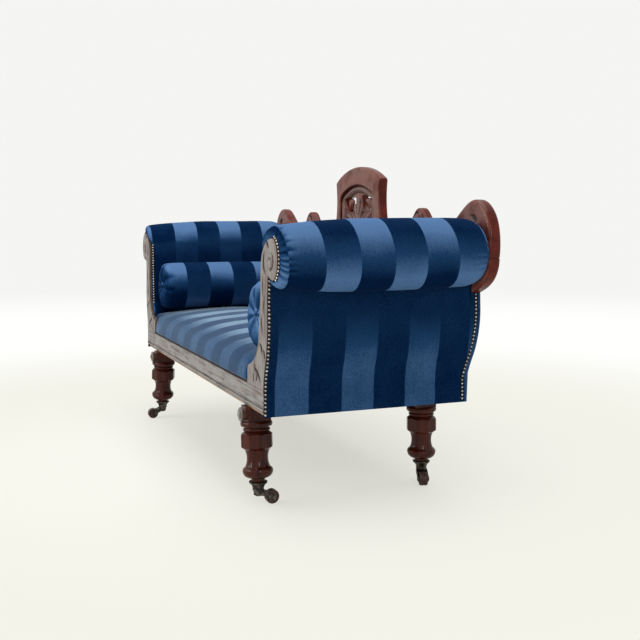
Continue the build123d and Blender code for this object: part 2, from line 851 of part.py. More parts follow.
def bolster_buttons():
    """Covered buttons on the flats at both ends of the bolster."""
    seat = bolster_length / 2 - bolster_dimple
    edge = (bolster_button_radius, bolster_button_edge)
    profile = chain((0, 0), (bolster_button_radius - bolster_button_bevel, 0), edge)
    profile += [
        dome(bolster_button_radius, bolster_button_edge, bolster_button_height - bolster_button_edge),
        Line((0, bolster_button_height), (0, 0)),
    ]
    button = turned(profile)
    rear = Pos(0, seat, 0) * Rot(-90, 0, 0) * button
    front = Pos(0, -seat, 0) * Rot(90, 0, 0) * button
    return Compound(children=[front, rear])


def rounded_board(outline, sharp):
    """A board of the wooden back with its long edges rounded, apart from the sharp ones."""
    solid = board(outline, board_front, board_thickness)
    middle_y = board_front + board_thickness / 2
    rims = []
    for edge in solid.edges():
        on_face = abs(edge.center().Y - middle_y) > board_thickness / 2 - board_lift
        if on_face and not sharp(edge.center()):
            rims.append(edge)
    return fillet(rims, board_edge)


def crest_tablet():
    """Tall middle tablet: waisted sides, arched top, an arched recess and two pierced drops."""
    foot = (crest_half_width, crest_foot_z)
    shoulder = (crest_half_width, crest_shoulder_z)
    right = [Line((crest_half_width, board_bottom), foot), bowed(foot, shoulder, -crest_waist)]
    left = [mirror(edge, about=Plane.YZ) for edge in right]
    arch = ThreePointArc(shoulder, (0, board_bottom + crest_rise), (-shoulder[0], shoulder[1]))
    base = Line((-crest_half_width, board_bottom), (crest_half_width, board_bottom))
    outline = make_face(right + left + [arch, base])
    shoulders = outline.vertices().sort_by(Axis.Y)[-2:]
    tablet = rounded_board(fillet(shoulders, crest_corner), lambda centre: centre.Z < crest_foot_z)

    recess_top = board_bottom + crest_recess_top_rise
    recess_low = board_bottom + crest_recess_bottom_rise
    spring = (crest_recess_half_width, recess_top - crest_recess_arch)
    far_spring = (-spring[0], spring[1])
    recess = [ThreePointArc(spring, (0, recess_top), far_spring)]
    recess += chain(far_spring, (-spring[0], recess_low), (spring[0], recess_low), spring)
    recess_face = make_face(recess)
    upper_corners = recess_face.vertices().sort_by(Axis.Y)[-2:]
    tablet -= board(fillet(upper_corners, crest_recess_corner), board_front, crest_recess_depth)

    inner = (crest_drop_inner_x, board_bottom + crest_drop_inner_rise)
    outer = (crest_drop_outer_x, board_bottom + crest_drop_outer_rise)
    tip = (crest_drop_tip_x, board_bottom + crest_drop_tip_rise)
    drop_face = make_face(
        [
            Line(inner, outer),
            bowed(outer, tip, crest_drop_outer_bow, crest_drop_bow_down),
            bowed(tip, inner, crest_drop_inner_bow, crest_drop_bow_down),
        ]
    )
    drop = board(fillet(drop_face.vertices(), crest_drop_round), board_front, board_thickness)
    return tablet - drop - mirrored(drop)


def back_rail():
    """Right back rail: a sweep from the crest to a carved lobe and on to the upper half of the ear."""
    foot = (crest_half_width, crest_foot_z)
    lobe_in = (lobe_x - lobe_half_width, lobe_top - lobe_height)
    lobe_out = (lobe_x + lobe_half_width, lobe_top - lobe_height)
    inner_dip_x = foot[0] + inner_dip_share * (lobe_in[0] - foot[0])
    inner_dip = (inner_dip_x, board_bottom + inner_dip_rise)
    inner_sweep = ((foot[0] + inner_dip_x) / 2 - inner_sweep_pull, inner_dip[1] + inner_sweep_lift)
    ear_shoulder = (ear_x - ear_shoulder_reach, ear_top - ear_shoulder_drop)
    outer_dip_x = lobe_out[0] + outer_dip_share * (ear_shoulder[0] - lobe_out[0])
    ear_crown = (ear_outer_x - ear_crown_inset, (ear_outer_z + ear_top) / 2 + ear_crown_lift)
    top_line = Spline(
        foot,
        inner_sweep,
        inner_dip,
        lobe_in,
        (lobe_x, lobe_top),
        lobe_out,
        (outer_dip_x, board_bottom + outer_dip_rise),
        ear_shoulder,
        (ear_x, ear_top),
        ear_crown,
        (ear_outer_x, ear_outer_z),
        ear_split,
    )
    outline = make_face([top_line] + chain(ear_split, (crest_half_width, board_bottom), foot))
    joint_x = crest_half_width + board_lift
    joint_z = board_bottom + board_lift
    return rounded_board(outline, lambda centre: centre.Z < joint_z or centre.X < joint_x)


def ear_cheek():
    """Lower half of the right ear, which caps the rear end of the arm roll."""
    inner = (arm_inner_x + arm_pad_inset, board_bottom)
    tip_x = scroll_x - ear_tip_inset
    tip_z = board_bottom - ear_drop
    lower_line = Spline(
        ear_split,
        (ear_outer_x - ear_side_inset, (board_bottom + tip_z) / 2 + ear_side_lift),
        (tip_x + ear_tip_half_width, tip_z + ear_tip_lift),
        (tip_x - ear_tip_half_width / 2, tip_z),
        (inner[0] + ear_inner_reach, tip_z + ear_inner_lift),
        inner,
    )
    outline = make_face([lower_line, Line(inner, ear_split)])
    return rounded_board(outline, lambda centre: centre.Z > board_bottom - board_lift)


def back_upright():
    """Middle post between the rear rail and the wooden back."""
    half = upright_width / 2
    depth = (board_front - upright_thickness, board_front)
    return block((-half, half), depth, (rail_top, board_bottom + upright_lap))


def lowered(piece, support, clearance):
    """Move a loose piece straight down until it lies the clearance above its support."""
    for _ in range(3):
        piece = Pos(0, 0, clearance - piece.distance_to(support)) * piece
    return piece


pieces = {}

pieces["front_rail"] = front_rail()
pieces["rear_rail"] = rear_rail()
pieces["end_rail_right"] = end_rail()
pieces["seat_stretcher"] = seat_stretcher()
pieces["corner_blocks"] = corner_blocks()
pieces["seat_webbing"] = seat_webbing()

leg_places = {
    "front_right": (front_leg_x, front_leg_y, front_leg_splay),
    "front_left": (-front_leg_x, front_leg_y, -front_leg_splay),
    "rear_right": (rear_leg_x, rear_leg_y, 0.0),
    "rear_left": (-rear_leg_x, rear_leg_y, 0.0),
}
for corner, (x, y, splay) in leg_places.items():
    leg = Pos(x, y, rail_bottom) * turned_leg(splay)
    pieces[f"leg_{corner}"] = leg
    foot_x = x + (leg_height - castor_height) * math.sin(math.radians(splay))
    at_foot = Pos(foot_x, y, 0)
    for name, piece in castor(castor_angles[corner], at_foot.inverse() * leg).items():
        pieces[f"{name}_{corner}"] = at_foot * piece
roundel_lean = math.tan(math.radians(front_leg_splay)) * leg_block_height / 2
roundel_y = front_leg_y - leg_block_width / 2
roundel_z = rail_bottom - leg_block_height / 2
pieces["leg_roundel_right"] = Pos(front_leg_x + roundel_lean, roundel_y, roundel_z) * leg_roundel()

facing = scroll_facing()
front_stump = arm_stump(facing_back, front_stump_thickness)
rear_stump = arm_stump(board_front - rear_stump_thickness, rear_stump_thickness)
roll_rail = arm_roll_rail()
tacking_rail = arm_tacking_rail()
cheek = ear_cheek()
roll = arm_roll()
inner_pad = inside_arm()
arm_pad = roll + inner_pad
for wood in (facing, front_stump, rear_stump, roll_rail, tacking_rail, pieces["seat_webbing"]):
    arm_pad -= wood
arm_pad -= block((0, 2 * scroll_x), (board_front, board_front + board_thickness), (0, 2 * scroll_z))
outside_arm_panel = outside_arm() - arm_pad - facing - front_stump - rear_stump - cheek
pieces["front_rail"] -= outside_arm_panel
pieces["front_rail"] -= mirrored(outside_arm_panel)

pieces["scroll_facing_right"] = facing
pieces["arm_front_stump_right"] = front_stump
pieces["arm_rear_stump_right"] = rear_stump
pieces["arm_roll_rail_right"] = roll_rail
pieces["arm_tacking_rail_right"] = tacking_rail
pieces["arm_pad_right"] = arm_pad
pieces["outside_arm_right"] = outside_arm_panel

seat = seat_pad() - pieces["seat_webbing"]
for neighbour in (facing, front_stump, arm_pad):
    seat -= neighbour
    seat -= mirrored(neighbour)
pieces["seat_pad"] = seat

pieces["back_upright"] = back_upright()
inside_back = back_pad() - pieces["back_upright"] - seat - pieces["seat_webbing"]
for neighbour in (inner_pad, roll, rear_stump):
    inside_back -= neighbour
    inside_back -= mirrored(neighbour)
pieces["back_pad"] = inside_back
pieces["outside_back"] = outside_back() - cheek - mirrored(cheek)
pieces["crest_tablet"] = crest_tablet()
pieces["back_rail_right"] = back_rail()
pieces["ear_cheek_right"] = cheek
pieces["bottom_cloth"] = bottom_cloth([(x, y) for x, y, _ in leg_places.values()])

bolster_x = arm_inner_x - bolster_radius - bolster_arm_gap
bolster_y = bolster_front + bolster_length / 2
bolster_high = Pos(bolster_x, bolster_y, rail_top + seat_crown + 2 * bolster_radius) * bolster()
lying_bolster = lowered(bolster_high, seat, soft_clearance)
bolster_axis_z = lying_bolster.center().Z
pieces["bolster_right"] = lying_bolster
pieces["bolster_buttons_right"] = Pos(bolster_x, bolster_y, bolster_axis_z) * bolster_buttons()

for name in list(pieces):
    other = name.replace("_right", "_left")
    if other not in pieces:
        pieces[other] = mirrored(pieces[name])

os.makedirs("parts", exist_ok=True)
for name, piece in pieces.items():
    export_step(piece, f"parts/{name}.step")
bolster_axis = (round(bolster_x, 2), round(bolster_y, 2), round(bolster_axis_z, 2))
print(len(pieces), "pieces, bolster axis at", *bolster_axis)
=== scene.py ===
# Victorian double-ended settee: mahogany show wood, blue velvet with bands of opposite nap, castors.
# Metres, in the frame of the solid model: X along the seat, the front faces -Y, the floor is Z = 0.
import math

import bmesh
import bpy
import numpy as np
from mathutils import Matrix, Vector, noise


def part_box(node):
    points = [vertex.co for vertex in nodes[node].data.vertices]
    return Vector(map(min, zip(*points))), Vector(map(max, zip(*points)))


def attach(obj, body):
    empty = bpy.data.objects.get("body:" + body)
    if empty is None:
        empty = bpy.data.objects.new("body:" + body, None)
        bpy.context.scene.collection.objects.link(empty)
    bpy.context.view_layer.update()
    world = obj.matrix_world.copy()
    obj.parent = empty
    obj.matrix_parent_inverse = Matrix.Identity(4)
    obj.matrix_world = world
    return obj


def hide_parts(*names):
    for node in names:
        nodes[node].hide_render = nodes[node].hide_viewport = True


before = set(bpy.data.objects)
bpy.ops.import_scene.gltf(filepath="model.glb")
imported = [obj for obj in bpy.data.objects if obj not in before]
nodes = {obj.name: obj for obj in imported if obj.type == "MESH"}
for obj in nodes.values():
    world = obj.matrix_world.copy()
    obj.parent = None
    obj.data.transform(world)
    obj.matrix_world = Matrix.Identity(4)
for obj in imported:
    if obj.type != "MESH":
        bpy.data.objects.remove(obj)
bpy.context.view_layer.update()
scene = bpy.context.scene
scene.view_settings.view_transform = "Standard"

# The studio: a plain pale floor that fades to white away from the settee, soft daylight from the
# front and from above, and a level camera with a shifted lens.
eye_place = (3.078, -1.0696, 0.78)
eye_heading = math.radians(68.21)
lens_mm = 51.51
horizon_shift = -0.147
floor_radius = 9.0
floor_colour = (0.86, 0.855, 0.79, 1)
floor_near_glow = (0.90, 0.895, 0.82, 1)
floor_far_glow = (1.0, 1.0, 0.985, 1)
backdrop_colour = (0.91, 0.915, 0.895, 1)


def shader_node(tree, kind, inputs=None, **settings):
    """Add one shader node, with its settings and the values or sockets of its inputs."""
    made = tree.nodes.new("ShaderNode" + kind)
    for key, value in settings.items():
        setattr(made, key, value)
    for socket, value in (inputs or {}).items():
        if isinstance(value, bpy.types.NodeSocket):
            tree.links.new(value, made.inputs[socket])
        else:
            made.inputs[socket].default_value = value
    return made


def calc(tree, operation, first, second=0.0, third=0.0, clamp=False):
    """A Math node's result."""
    inputs = {0: first, 1: second, 2: third}
    return shader_node(tree, "Math", inputs, operation=operation, use_clamp=clamp).outputs[0]


def fade(tree, value, start, end):
    """0 at the start, 1 at the end, with a soft run between them."""
    inputs = {"Value": value, "From Min": start, "From Max": end}
    return shader_node(tree, "MapRange", inputs, interpolation_type="SMOOTHSTEP").outputs[0]


def blend_colour(tree, share, first, second):
    """A mix of two colours by a share."""
    mixed = shader_node(tree, "Mix", {0: share}, data_type="RGBA")
    for socket, value in ((6, first), (7, second)):
        if isinstance(value, bpy.types.NodeSocket):
            tree.links.new(value, mixed.inputs[socket])
        else:
            mixed.inputs[socket].default_value = value
    return mixed.outputs[2]


def blank_material(name):
    """A new material with an empty node tree and its output."""
    material = bpy.data.materials.new(name)
    material.use_nodes = True
    material.node_tree.nodes.clear()
    return material, material.node_tree, material.node_tree.nodes.new("ShaderNodeOutputMaterial")


def finished(bm, name, smooth=True):
    """The mesh that a bmesh holds, shaded smooth or flat; the bmesh is freed."""
    for face in bm.faces:
        face.smooth = smooth
    mesh = bpy.data.meshes.new(name)
    bm.to_mesh(mesh)
    bm.free()
    return mesh


def seen_directly(tree):
    """1 for rays from the camera, from a mirror or through glass."""
    path = shader_node(tree, "LightPath").outputs
    seen = calc(tree, "MAXIMUM", path["Is Camera Ray"], path["Is Glossy Ray"])
    return calc(tree, "MAXIMUM", seen, path["Is Transmission Ray"])


world = bpy.data.worlds.new("studio")
scene.world = world
world.use_nodes = True
sky = world.node_tree
sky.nodes.clear()
ambient = shader_node(sky, "Background", {"Color": (0.95, 0.98, 1.0, 1), "Strength": 0.5})
backdrop = shader_node(sky, "Background", {"Color": backdrop_colour, "Strength": 1.0})
shown = {0: seen_directly(sky), 1: ambient.outputs[0], 2: backdrop.outputs[0]}
sky_mix = shader_node(sky, "MixShader", shown)
shader_node(sky, "OutputWorld", {"Surface": sky_mix.outputs[0]})

bm = bmesh.new()
bmesh.ops.create_circle(bm, cap_ends=True, segments=96, radius=floor_radius)
floor_mesh = finished(bm, "studio_floor", smooth=False)
floor = bpy.data.objects.new("studio_floor", floor_mesh)
scene.collection.objects.link(floor)
floor_paint, tree, output = blank_material("studio_floor")
place = shader_node(tree, "TexCoord").outputs["Object"]
distance = shader_node(tree, "VectorMath", {0: place}, operation="LENGTH").outputs["Value"]
share = calc(tree, "MULTIPLY_ADD", fade(tree, distance, 0.3, 1.6), 0.42, 0.58)
faded = calc(tree, "MULTIPLY", share, seen_directly(tree))
bright = blend_colour(tree, fade(tree, distance, 1.4, 3.2), floor_near_glow, floor_far_glow)
bright = blend_colour(tree, fade(tree, distance, 4.5, 8.5), bright, backdrop_colour)
matt_finish = {"Base Color": floor_colour, "Roughness": 0.6, "Specular IOR Level": 0.2}
matt = shader_node(tree, "BsdfPrincipled", matt_finish)
glow = shader_node(tree, "Emission", {"Color": bright, "Strength": 1.0})
floor_mix = shader_node(tree, "MixShader", {0: faded, 1: matt.outputs[0], 2: glow.outputs[0]})
tree.links.new(floor_mix.outputs[0], output.inputs["Surface"])
floor_mesh.materials.append(floor_paint)


def soft_lamp(name, position, target, width, height, power):
    """A large flat lamp that looks at the target."""
    lamp = bpy.data.lights.new(name, "AREA")
    lamp.shape = "RECTANGLE"
    lamp.size = width
    lamp.size_y = height
    lamp.energy = power
    holder = bpy.data.objects.new(name, lamp)
    holder.location = position
    holder.rotation_euler = (Vector(target) - Vector(position)).to_track_quat("-Z", "Y").to_euler()
    scene.collection.objects.link(holder)


soft_lamp("window_front", (-1.2, -4.0, 2.4), (0.0, 0.0, 0.5), 3.0, 3.0, 84)
soft_lamp("ceiling", (0.3, 0.2, 3.6), (0.3, 0.0, 0.4), 3.0, 3.0, 75)
soft_lamp("window_slim", (0.7, -3.8, 1.5), (0.3, 0.0, 0.4), 0.5, 1.8, 28)
soft_lamp("window_end", (4.4, -0.3, 2.0), (0.6, 0.0, 0.5), 0.7, 1.5, 26)

camera = bpy.data.cameras.new("camera")
camera.lens = lens_mm
camera.shift_y = horizon_shift
eye = bpy.data.objects.new("camera", camera)
eye.location = eye_place
eye.rotation_euler = (math.pi / 2, 0, eye_heading)
scene.collection.objects.link(eye)
scene.camera = eye

# The seat frame: a moulded mahogany front rail, dry and grey with old polish and a painted reflection, and
# plain beech rails behind it, mortised and tenoned, with glued corner blocks.


def new_group(name, inputs, outputs):
    """A shader node group with named sockets; gives the group, its input and its output sockets."""
    group = bpy.data.node_groups.new(name, "ShaderNodeTree")
    for direction, sockets in (("INPUT", inputs), ("OUTPUT", outputs)):
        for socket, kind in sockets:
            group.interface.new_socket(name=socket, in_out=direction, socket_type="NodeSocket" + kind)
    return group, group.nodes.new("NodeGroupInput").outputs, group.nodes.new("NodeGroupOutput").inputs


def stretched_noise(tree, vector, along, across, detail, distortion=0.0):
    """Noise drawn out along X, as the fibres of a board are."""
    long_way = shader_node(tree, "Mapping", {"Vector": vector, "Scale": (along, across, across)}).outputs[0]
    inputs = {"Vector": long_way, "Scale": 1.0, "Detail": detail, "Distortion": distortion}
    return shader_node(tree, "TexNoise", inputs).outputs[0]


def cloudy(tree, vector, scale, detail):
    """Noise that is the same in every direction."""
    return shader_node(tree, "TexNoise", {"Vector": vector, "Scale": scale, "Detail": detail}).outputs[0]


def split(tree, vector):
    """The X, Y and Z of a vector."""
    return shader_node(tree, "SeparateXYZ", {0: vector}).outputs


def relief(tree, height, strength, distance):
    """A normal bumped by a height."""
    bump = {"Height": height, "Strength": strength, "Distance": distance}
    return shader_node(tree, "Bump", bump).outputs[0]


def surfaced(tree, output, surface):
    """Close a material with the Principled shader."""
    tree.links.new(shader_node(tree, "BsdfPrincipled", surface).outputs[0], output.inputs["Surface"])


surface_outputs = [("Color", "Color"), ("Roughness", "Float"), ("Height", "Float")]
grain_colours = [("Dark", "Color"), ("Light", "Color"), ("Dust Color", "Color")]
grain_shares = [("Dust", "Float"), ("Dry", "Float")]
wood_grain, given, result = new_group(
    "wood_grain", [("Vector", "Vector")] + grain_colours + grain_shares, surface_outputs
)
tree = wood_grain
figure = stretched_noise(tree, given["Vector"], 3.0, 34.0, 5.0, 0.8)
streaks = stretched_noise(tree, given["Vector"], 9.0, 190.0, 3.0)
pores = fade(tree, stretched_noise(tree, given["Vector"], 55.0, 900.0, 1.0), 0.60, 0.72)
shade = calc(tree, "ADD", calc(tree, "MULTIPLY", figure, 0.7), calc(tree, "MULTIPLY", streaks, 0.3))
bare = blend_colour(tree, fade(tree, shade, 0.30, 0.70), given["Dark"], given["Light"])
pore_share = calc(tree, "MULTIPLY", pores, calc(tree, "MULTIPLY_ADD", given["Dry"], 0.35, 0.15))
pored = blend_colour(tree, pore_share, bare, given["Dark"])
# The dust share lays dust and a painted reflection in a cloudy film broken by the grain.
cloud = cloudy(tree, given["Vector"], 22.0, 6.0)
grainy = calc(tree, "MULTIPLY", calc(tree, "SUBTRACT", streaks, cloud), given["Dry"])
film = calc(tree, "MULTIPLY_ADD", grainy, 0.65, cloud)
dust_and_sheen_share = calc(tree, "MULTIPLY", given["Dust"], fade(tree, film, 0.28, 0.60))
tree.links.new(blend_colour(tree, dust_and_sheen_share, pored, given["Dust Color"]), result["Color"])
gloss = calc(tree, "ADD", 0.24, calc(tree, "MULTIPLY", shade, 0.16))
tree.links.new(calc(tree, "ADD", gloss, calc(tree, "MULTIPLY", dust_and_sheen_share, 0.3)), result["Roughness"])
tree.links.new(calc(tree, "SUBTRACT", 1.0, pores), result["Height"])
# Default grey for dust and a painted reflection on old polish.
dust_and_sheen_grey = (0.4, 0.36, 0.32, 1)
worn_wood = (0.36, 0.185, 0.070, 1)


def wood(name, dark, light, dust=0.0, dust_colour=dust_and_sheen_grey, coat=0.2, dry=0.0, upright=False, **marks):
    """A wood with its grain along X, or along Z when upright; dust and a painted reflection lighten its front
    and top faces.

    Marks: the hollow mark gives carved hollows painted shade and the rib mark gives the ribs between them a
    painted highlight; worn_edge is a height below which bare wood shows.
    """
    material, tree, output = blank_material(name)
    coords = shader_node(tree, "TexCoord").outputs
    vector = coords["Object"]
    if upright:
        vector = shader_node(tree, "Mapping", {"Vector": vector, "Rotation": (0, math.pi / 2, 0)}).outputs[0]
    # Dust and a painted reflection of the window and ceiling lighten faces turned to the front and faces
    # turned up.
    facing = split(tree, coords["Normal"])
    on_top = calc(tree, "MULTIPLY", fade(tree, facing["Z"], 0.6, 0.95), 0.5)
    dust_and_sheen_faces = calc(tree, "MAXIMUM", fade(tree, facing["Y"], -0.3, -0.85), on_top)
    kind = {"Dark": dark, "Light": light, "Dust Color": dust_colour, "Vector": vector, "Dry": dry}
    kind["Dust"] = calc(tree, "MULTIPLY", dust_and_sheen_faces, dust)
    grain = shader_node(tree, "Group", kind, node_tree=wood_grain)
    colour = grain.outputs["Color"]
    # Painted shade in carved hollows and a painted highlight on the ribs between them.
    for attribute, mark in (("hollow", "hollow_dark"), ("raised", "raised_light")):
        if mark in marks:
            share = shader_node(tree, "Attribute", attribute_name=attribute).outputs["Fac"]
            colour = blend_colour(tree, share, colour, marks[mark])
    if "worn_edge" in marks:
        patches = cloudy(tree, coords["Object"], 26.0, 4.0)
        height = split(tree, coords["Object"])["Z"]
        low = fade(tree, height, marks["worn_edge"] + 0.005, marks["worn_edge"])
        worn = calc(tree, "MULTIPLY", low, fade(tree, patches, 0.40, 0.56))
        colour = blend_colour(tree, worn, colour, worn_wood)
    surface = {
        "Base Color": colour,
        "Roughness": grain.outputs["Roughness"],
        "Normal": relief(tree, grain.outputs["Height"], 0.25, 0.0004),
        "Coat Weight": coat,
        "Coat Roughness": 0.07,
        "Specular IOR Level": 0.03,
    }
    surfaced(tree, output, surface)
    return material


def dress(material, *names):
    """Give CAD nodes a material."""
    for name in names:
        mesh = nodes[name].data
        mesh.materials.clear()
        mesh.materials.append(material)


dry_dark = (0.058, 0.030, 0.021, 1)
dry_light = (0.165, 0.112, 0.086, 1)
# The rail's front and top faces are greyed by dust on its dry polish and by a painted reflection of the
# window and ceiling.
dry_dust_and_sheen = (0.296, 0.286, 0.274, 1)
dry_rail = wood("mahogany_dry_rail", dry_dark, dry_light, 0.92, dry_dust_and_sheen, 0.0, 1.0, worn_edge=0.2745)
beech = wood("beech_frame", (0.36, 0.22, 0.12, 1), (0.52, 0.35, 0.2, 1), coat=0.0, dry=0.5)
dress(dry_rail, "front_rail")
dress(beech, "rear_rail", "seat_stretcher", "corner_blocks", "back_upright")
for side in ("right", "left"):
    dress(beech, f"end_rail_{side}", f"arm_front_stump_{side}", f"arm_rear_stump_{side}")
    dress(beech, f"arm_roll_rail_{side}", f"arm_tacking_rail_{side}")

# Turned legs: mahogany spindles with an octagonal collar, polished deep red-brown; a turned roundel,
# dry like the rail, faces the block of each front leg.
polished_dark = (0.018, 0.0030, 0.0018, 1)
polished_light = (0.080, 0.0140, 0.0070, 1)
# Painted shade for the carved hollows of the facings.
crevice_shade_brown = (0.030, 0.014, 0.010, 1)
leg_wood = wood("mahogany_leg", polished_dark, polished_light, coat=0.3, upright=True)
# The facings' and roundels' front and top faces are greyed by dust and by a painted reflection of the window
# and ceiling.
upright_dust_and_sheen = (0.294, 0.276, 0.262, 1)
upright_finish = {"coat": 0.0, "dry": 1.0, "upright": True, "hollow_dark": crevice_shade_brown}
dry_upright = wood("mahogany_dry_upright", dry_dark, dry_light, 0.9, upright_dust_and_sheen, **upright_finish)
corners = ("front_right", "front_left", "rear_right", "rear_left")
dress(leg_wood, *[f"leg_{corner}" for corner in corners])
dress(dry_upright, "leg_roundel_right", "leg_roundel_left")

# Castors: cast brass gone dark bronze, with a cup round the foot of the leg, a fork on a swivel pin and
# a turned lignum wheel on a steel axle.


def metal(name, dull, bright, roughness):
    """Old cast metal: dull, with brighter rubbed patches scattered at random."""
    material, tree, output = blank_material(name)
    vector = shader_node(tree, "TexCoord").outputs["Object"]
    rub = cloudy(tree, vector, 90.0, 6.0)
    pits = cloudy(tree, vector, 420.0, 3.0)
    colour = blend_colour(tree, fade(tree, rub, 0.42, 0.7), dull, bright)
    rough = calc(tree, "SUBTRACT", roughness, calc(tree, "MULTIPLY", rub, 0.2))
    bumps = relief(tree, pits, 0.3, 0.0006)
    surfaced(tree, output, {"Base Color": colour, "Roughness": rough, "Metallic": 1.0, "Normal": bumps})
    return material


bronze = metal("castor_bronze", (0.036, 0.030, 0.026, 1), (0.125, 0.105, 0.088, 1), 0.6)
wheel_wood = wood("castor_wheel", (0.055, 0.030, 0.023, 1), (0.150, 0.096, 0.078, 1), coat=0.05, dry=0.6)
for corner in corners:
    dress(bronze, f"castor_cup_{corner}", f"castor_fork_{corner}", f"castor_axle_{corner}")
    dress(wheel_wood, f"castor_wheel_{corner}")

# Scroll facings: mahogany boards at the front of the arms, carved with long leaf veins, short gouges
# and a ring round the eye of the volute, then glued and pinned to the stumps.
facing_skin = 0.002
facing_face = -0.3085


def link_piece(name, mesh, body="frame", material=None):
    """Put a finished mesh in the scene, riding on a body."""
    piece = bpy.data.objects.new(name, mesh)
    scene.collection.objects.link(piece)
    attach(piece, body)
    if material:
        mesh.materials.clear()
        mesh.materials.append(material)
    return piece


def even_skin(mesh, skin, passes=2):
    """A closed mesh with small even faces in place of its own, smoothed a few times."""
    holder = bpy.data.objects.new(mesh.name + "_coarse", mesh)
    scene.collection.objects.link(holder)
    remesh = holder.modifiers.new("skin", "REMESH")
    remesh.mode = "VOXEL"
    remesh.voxel_size = skin
    bm = bmesh.new()
    bm.from_mesh(holder.evaluated_get(bpy.context.evaluated_depsgraph_get()).data)
    bpy.data.objects.remove(holder)
    every_way = {"use_axis_x": True, "use_axis_y": True, "use_axis_z": True}
    for _ in range(passes):
        bmesh.ops.smooth_vert(bm, verts=bm.verts, factor=0.5, **every_way)
    return finished(bm, mesh.name + "_even")


def board_copy(node, skin, passes=2):
    """A merged copy of a CAD board that is fine enough to take carving."""
    bm = bmesh.new()
    bm.from_mesh(nodes[node].data)
    bmesh.ops.remove_doubles(bm, verts=bm.verts, dist=1e-5)
    return even_skin(finished(bm, node + "_copy"), skin, passes)


def arc(start, middle, end, steps):
    """Points on the circle through three points, from the start up to but not including the end."""
    a, b, c = (complex(*p) for p in (start, middle, end))
    w = (c - a) / (b - a)
    centre = (b - a) * (w - abs(w) ** 2) / (2j * w.imag) + a
    first = math.atan2((a - centre).imag, (a - centre).real)
    turn = math.atan2(((c - centre) / (a - centre)).imag, ((c - centre) / (a - centre)).real)
    way = math.atan2(((b - centre) / (a - centre)).imag, ((b - centre) / (a - centre)).real)
    if turn * way < 0:
        turn += math.copysign(2 * math.pi, way)
    radius = abs(a - centre)
    angles = [first + turn * i / steps for i in range(steps)]
    return [(centre.real + radius * math.cos(t), centre.imag + radius * math.sin(t)) for t in angles]


def line(start, end, steps):
    """Evenly spaced points from the start up to but not including the end."""
    return [tuple(s + (e - s) * i / steps for s, e in zip(start, end)) for i in range(steps)]


def gouge(points, width, depth, samples=40):
    """A tool stroke along a Bezier curve, fading at both ends; a depth below zero stands proud instead."""
    share = np.linspace(0.0, 1.0, samples)
    last = len(points) - 1
    curve = np.zeros((samples, 2))
    for i, point in enumerate(points):
        weight = math.comb(last, i) * share**i * (1 - share) ** (last - i)
        curve += weight[:, None] * np.array(point)
    return curve, np.sin(math.pi * np.clip(share, 0.02, 0.98)) ** 0.5, width, depth


def run(path, width, depth):
    """A moulding of even section along a path."""
    return np.array(path), np.ones(len(path)), width, depth


def mirrored(cuts):
    """The same cuts on the other side of the middle."""
    return [(curve * np.array([-1.0, 1.0]), taper, width, depth) for curve, taper, width, depth in cuts]


def carve(mesh, cuts, face_level):
    """Cut strokes and mouldings into the front of a board, and store how deep each point lies."""
    count = len(mesh.vertices)
    place = np.empty((count, 3))
    normal = np.empty((count, 3))
    mesh.vertices.foreach_get("co", place.ravel())
    mesh.vertices.foreach_get("normal", normal.ravel())
    front = (normal[:, 1] < -0.35) & (place[:, 1] < face_level)
    flat = place[front][:, [0, 2]]
    sunk = np.zeros(len(flat))
    for curve, taper, width, depth in cuts:
        near = np.full(len(flat), np.inf)
        fullness = np.zeros(len(flat))
        for point, share in zip(curve, taper):
            gap = np.hypot(flat[:, 0] - point[0], flat[:, 1] - point[1])
            closer = gap < near
            near[closer] = gap[closer]
            fullness[closer] = share
        cut = depth * fullness * np.clip(1.0 - near / (width * (0.35 + 0.65 * fullness)), 0.0, 1.0) ** 0.8
        sunk = np.where(np.abs(cut) > np.abs(sunk), cut, sunk)
    place[front, 1] += sunk
    mesh.vertices.foreach_set("co", place.ravel())
    # The depth is kept as shares that colour hollows with painted shade and raised ribs with a painted
    # highlight.
    shares = {"hollow": np.clip(sunk / 0.0024, 0.0, 1.0) * 0.95}
    shares["raised"] = np.clip(-sunk / 0.006, 0.0, 1.0) * 0.75
    for name, share in shares.items():
        values = np.zeros(count)
        values[front] = share
        mesh.attributes.new(name, "FLOAT", "POINT").data.foreach_set("value", values)
    mesh.update()


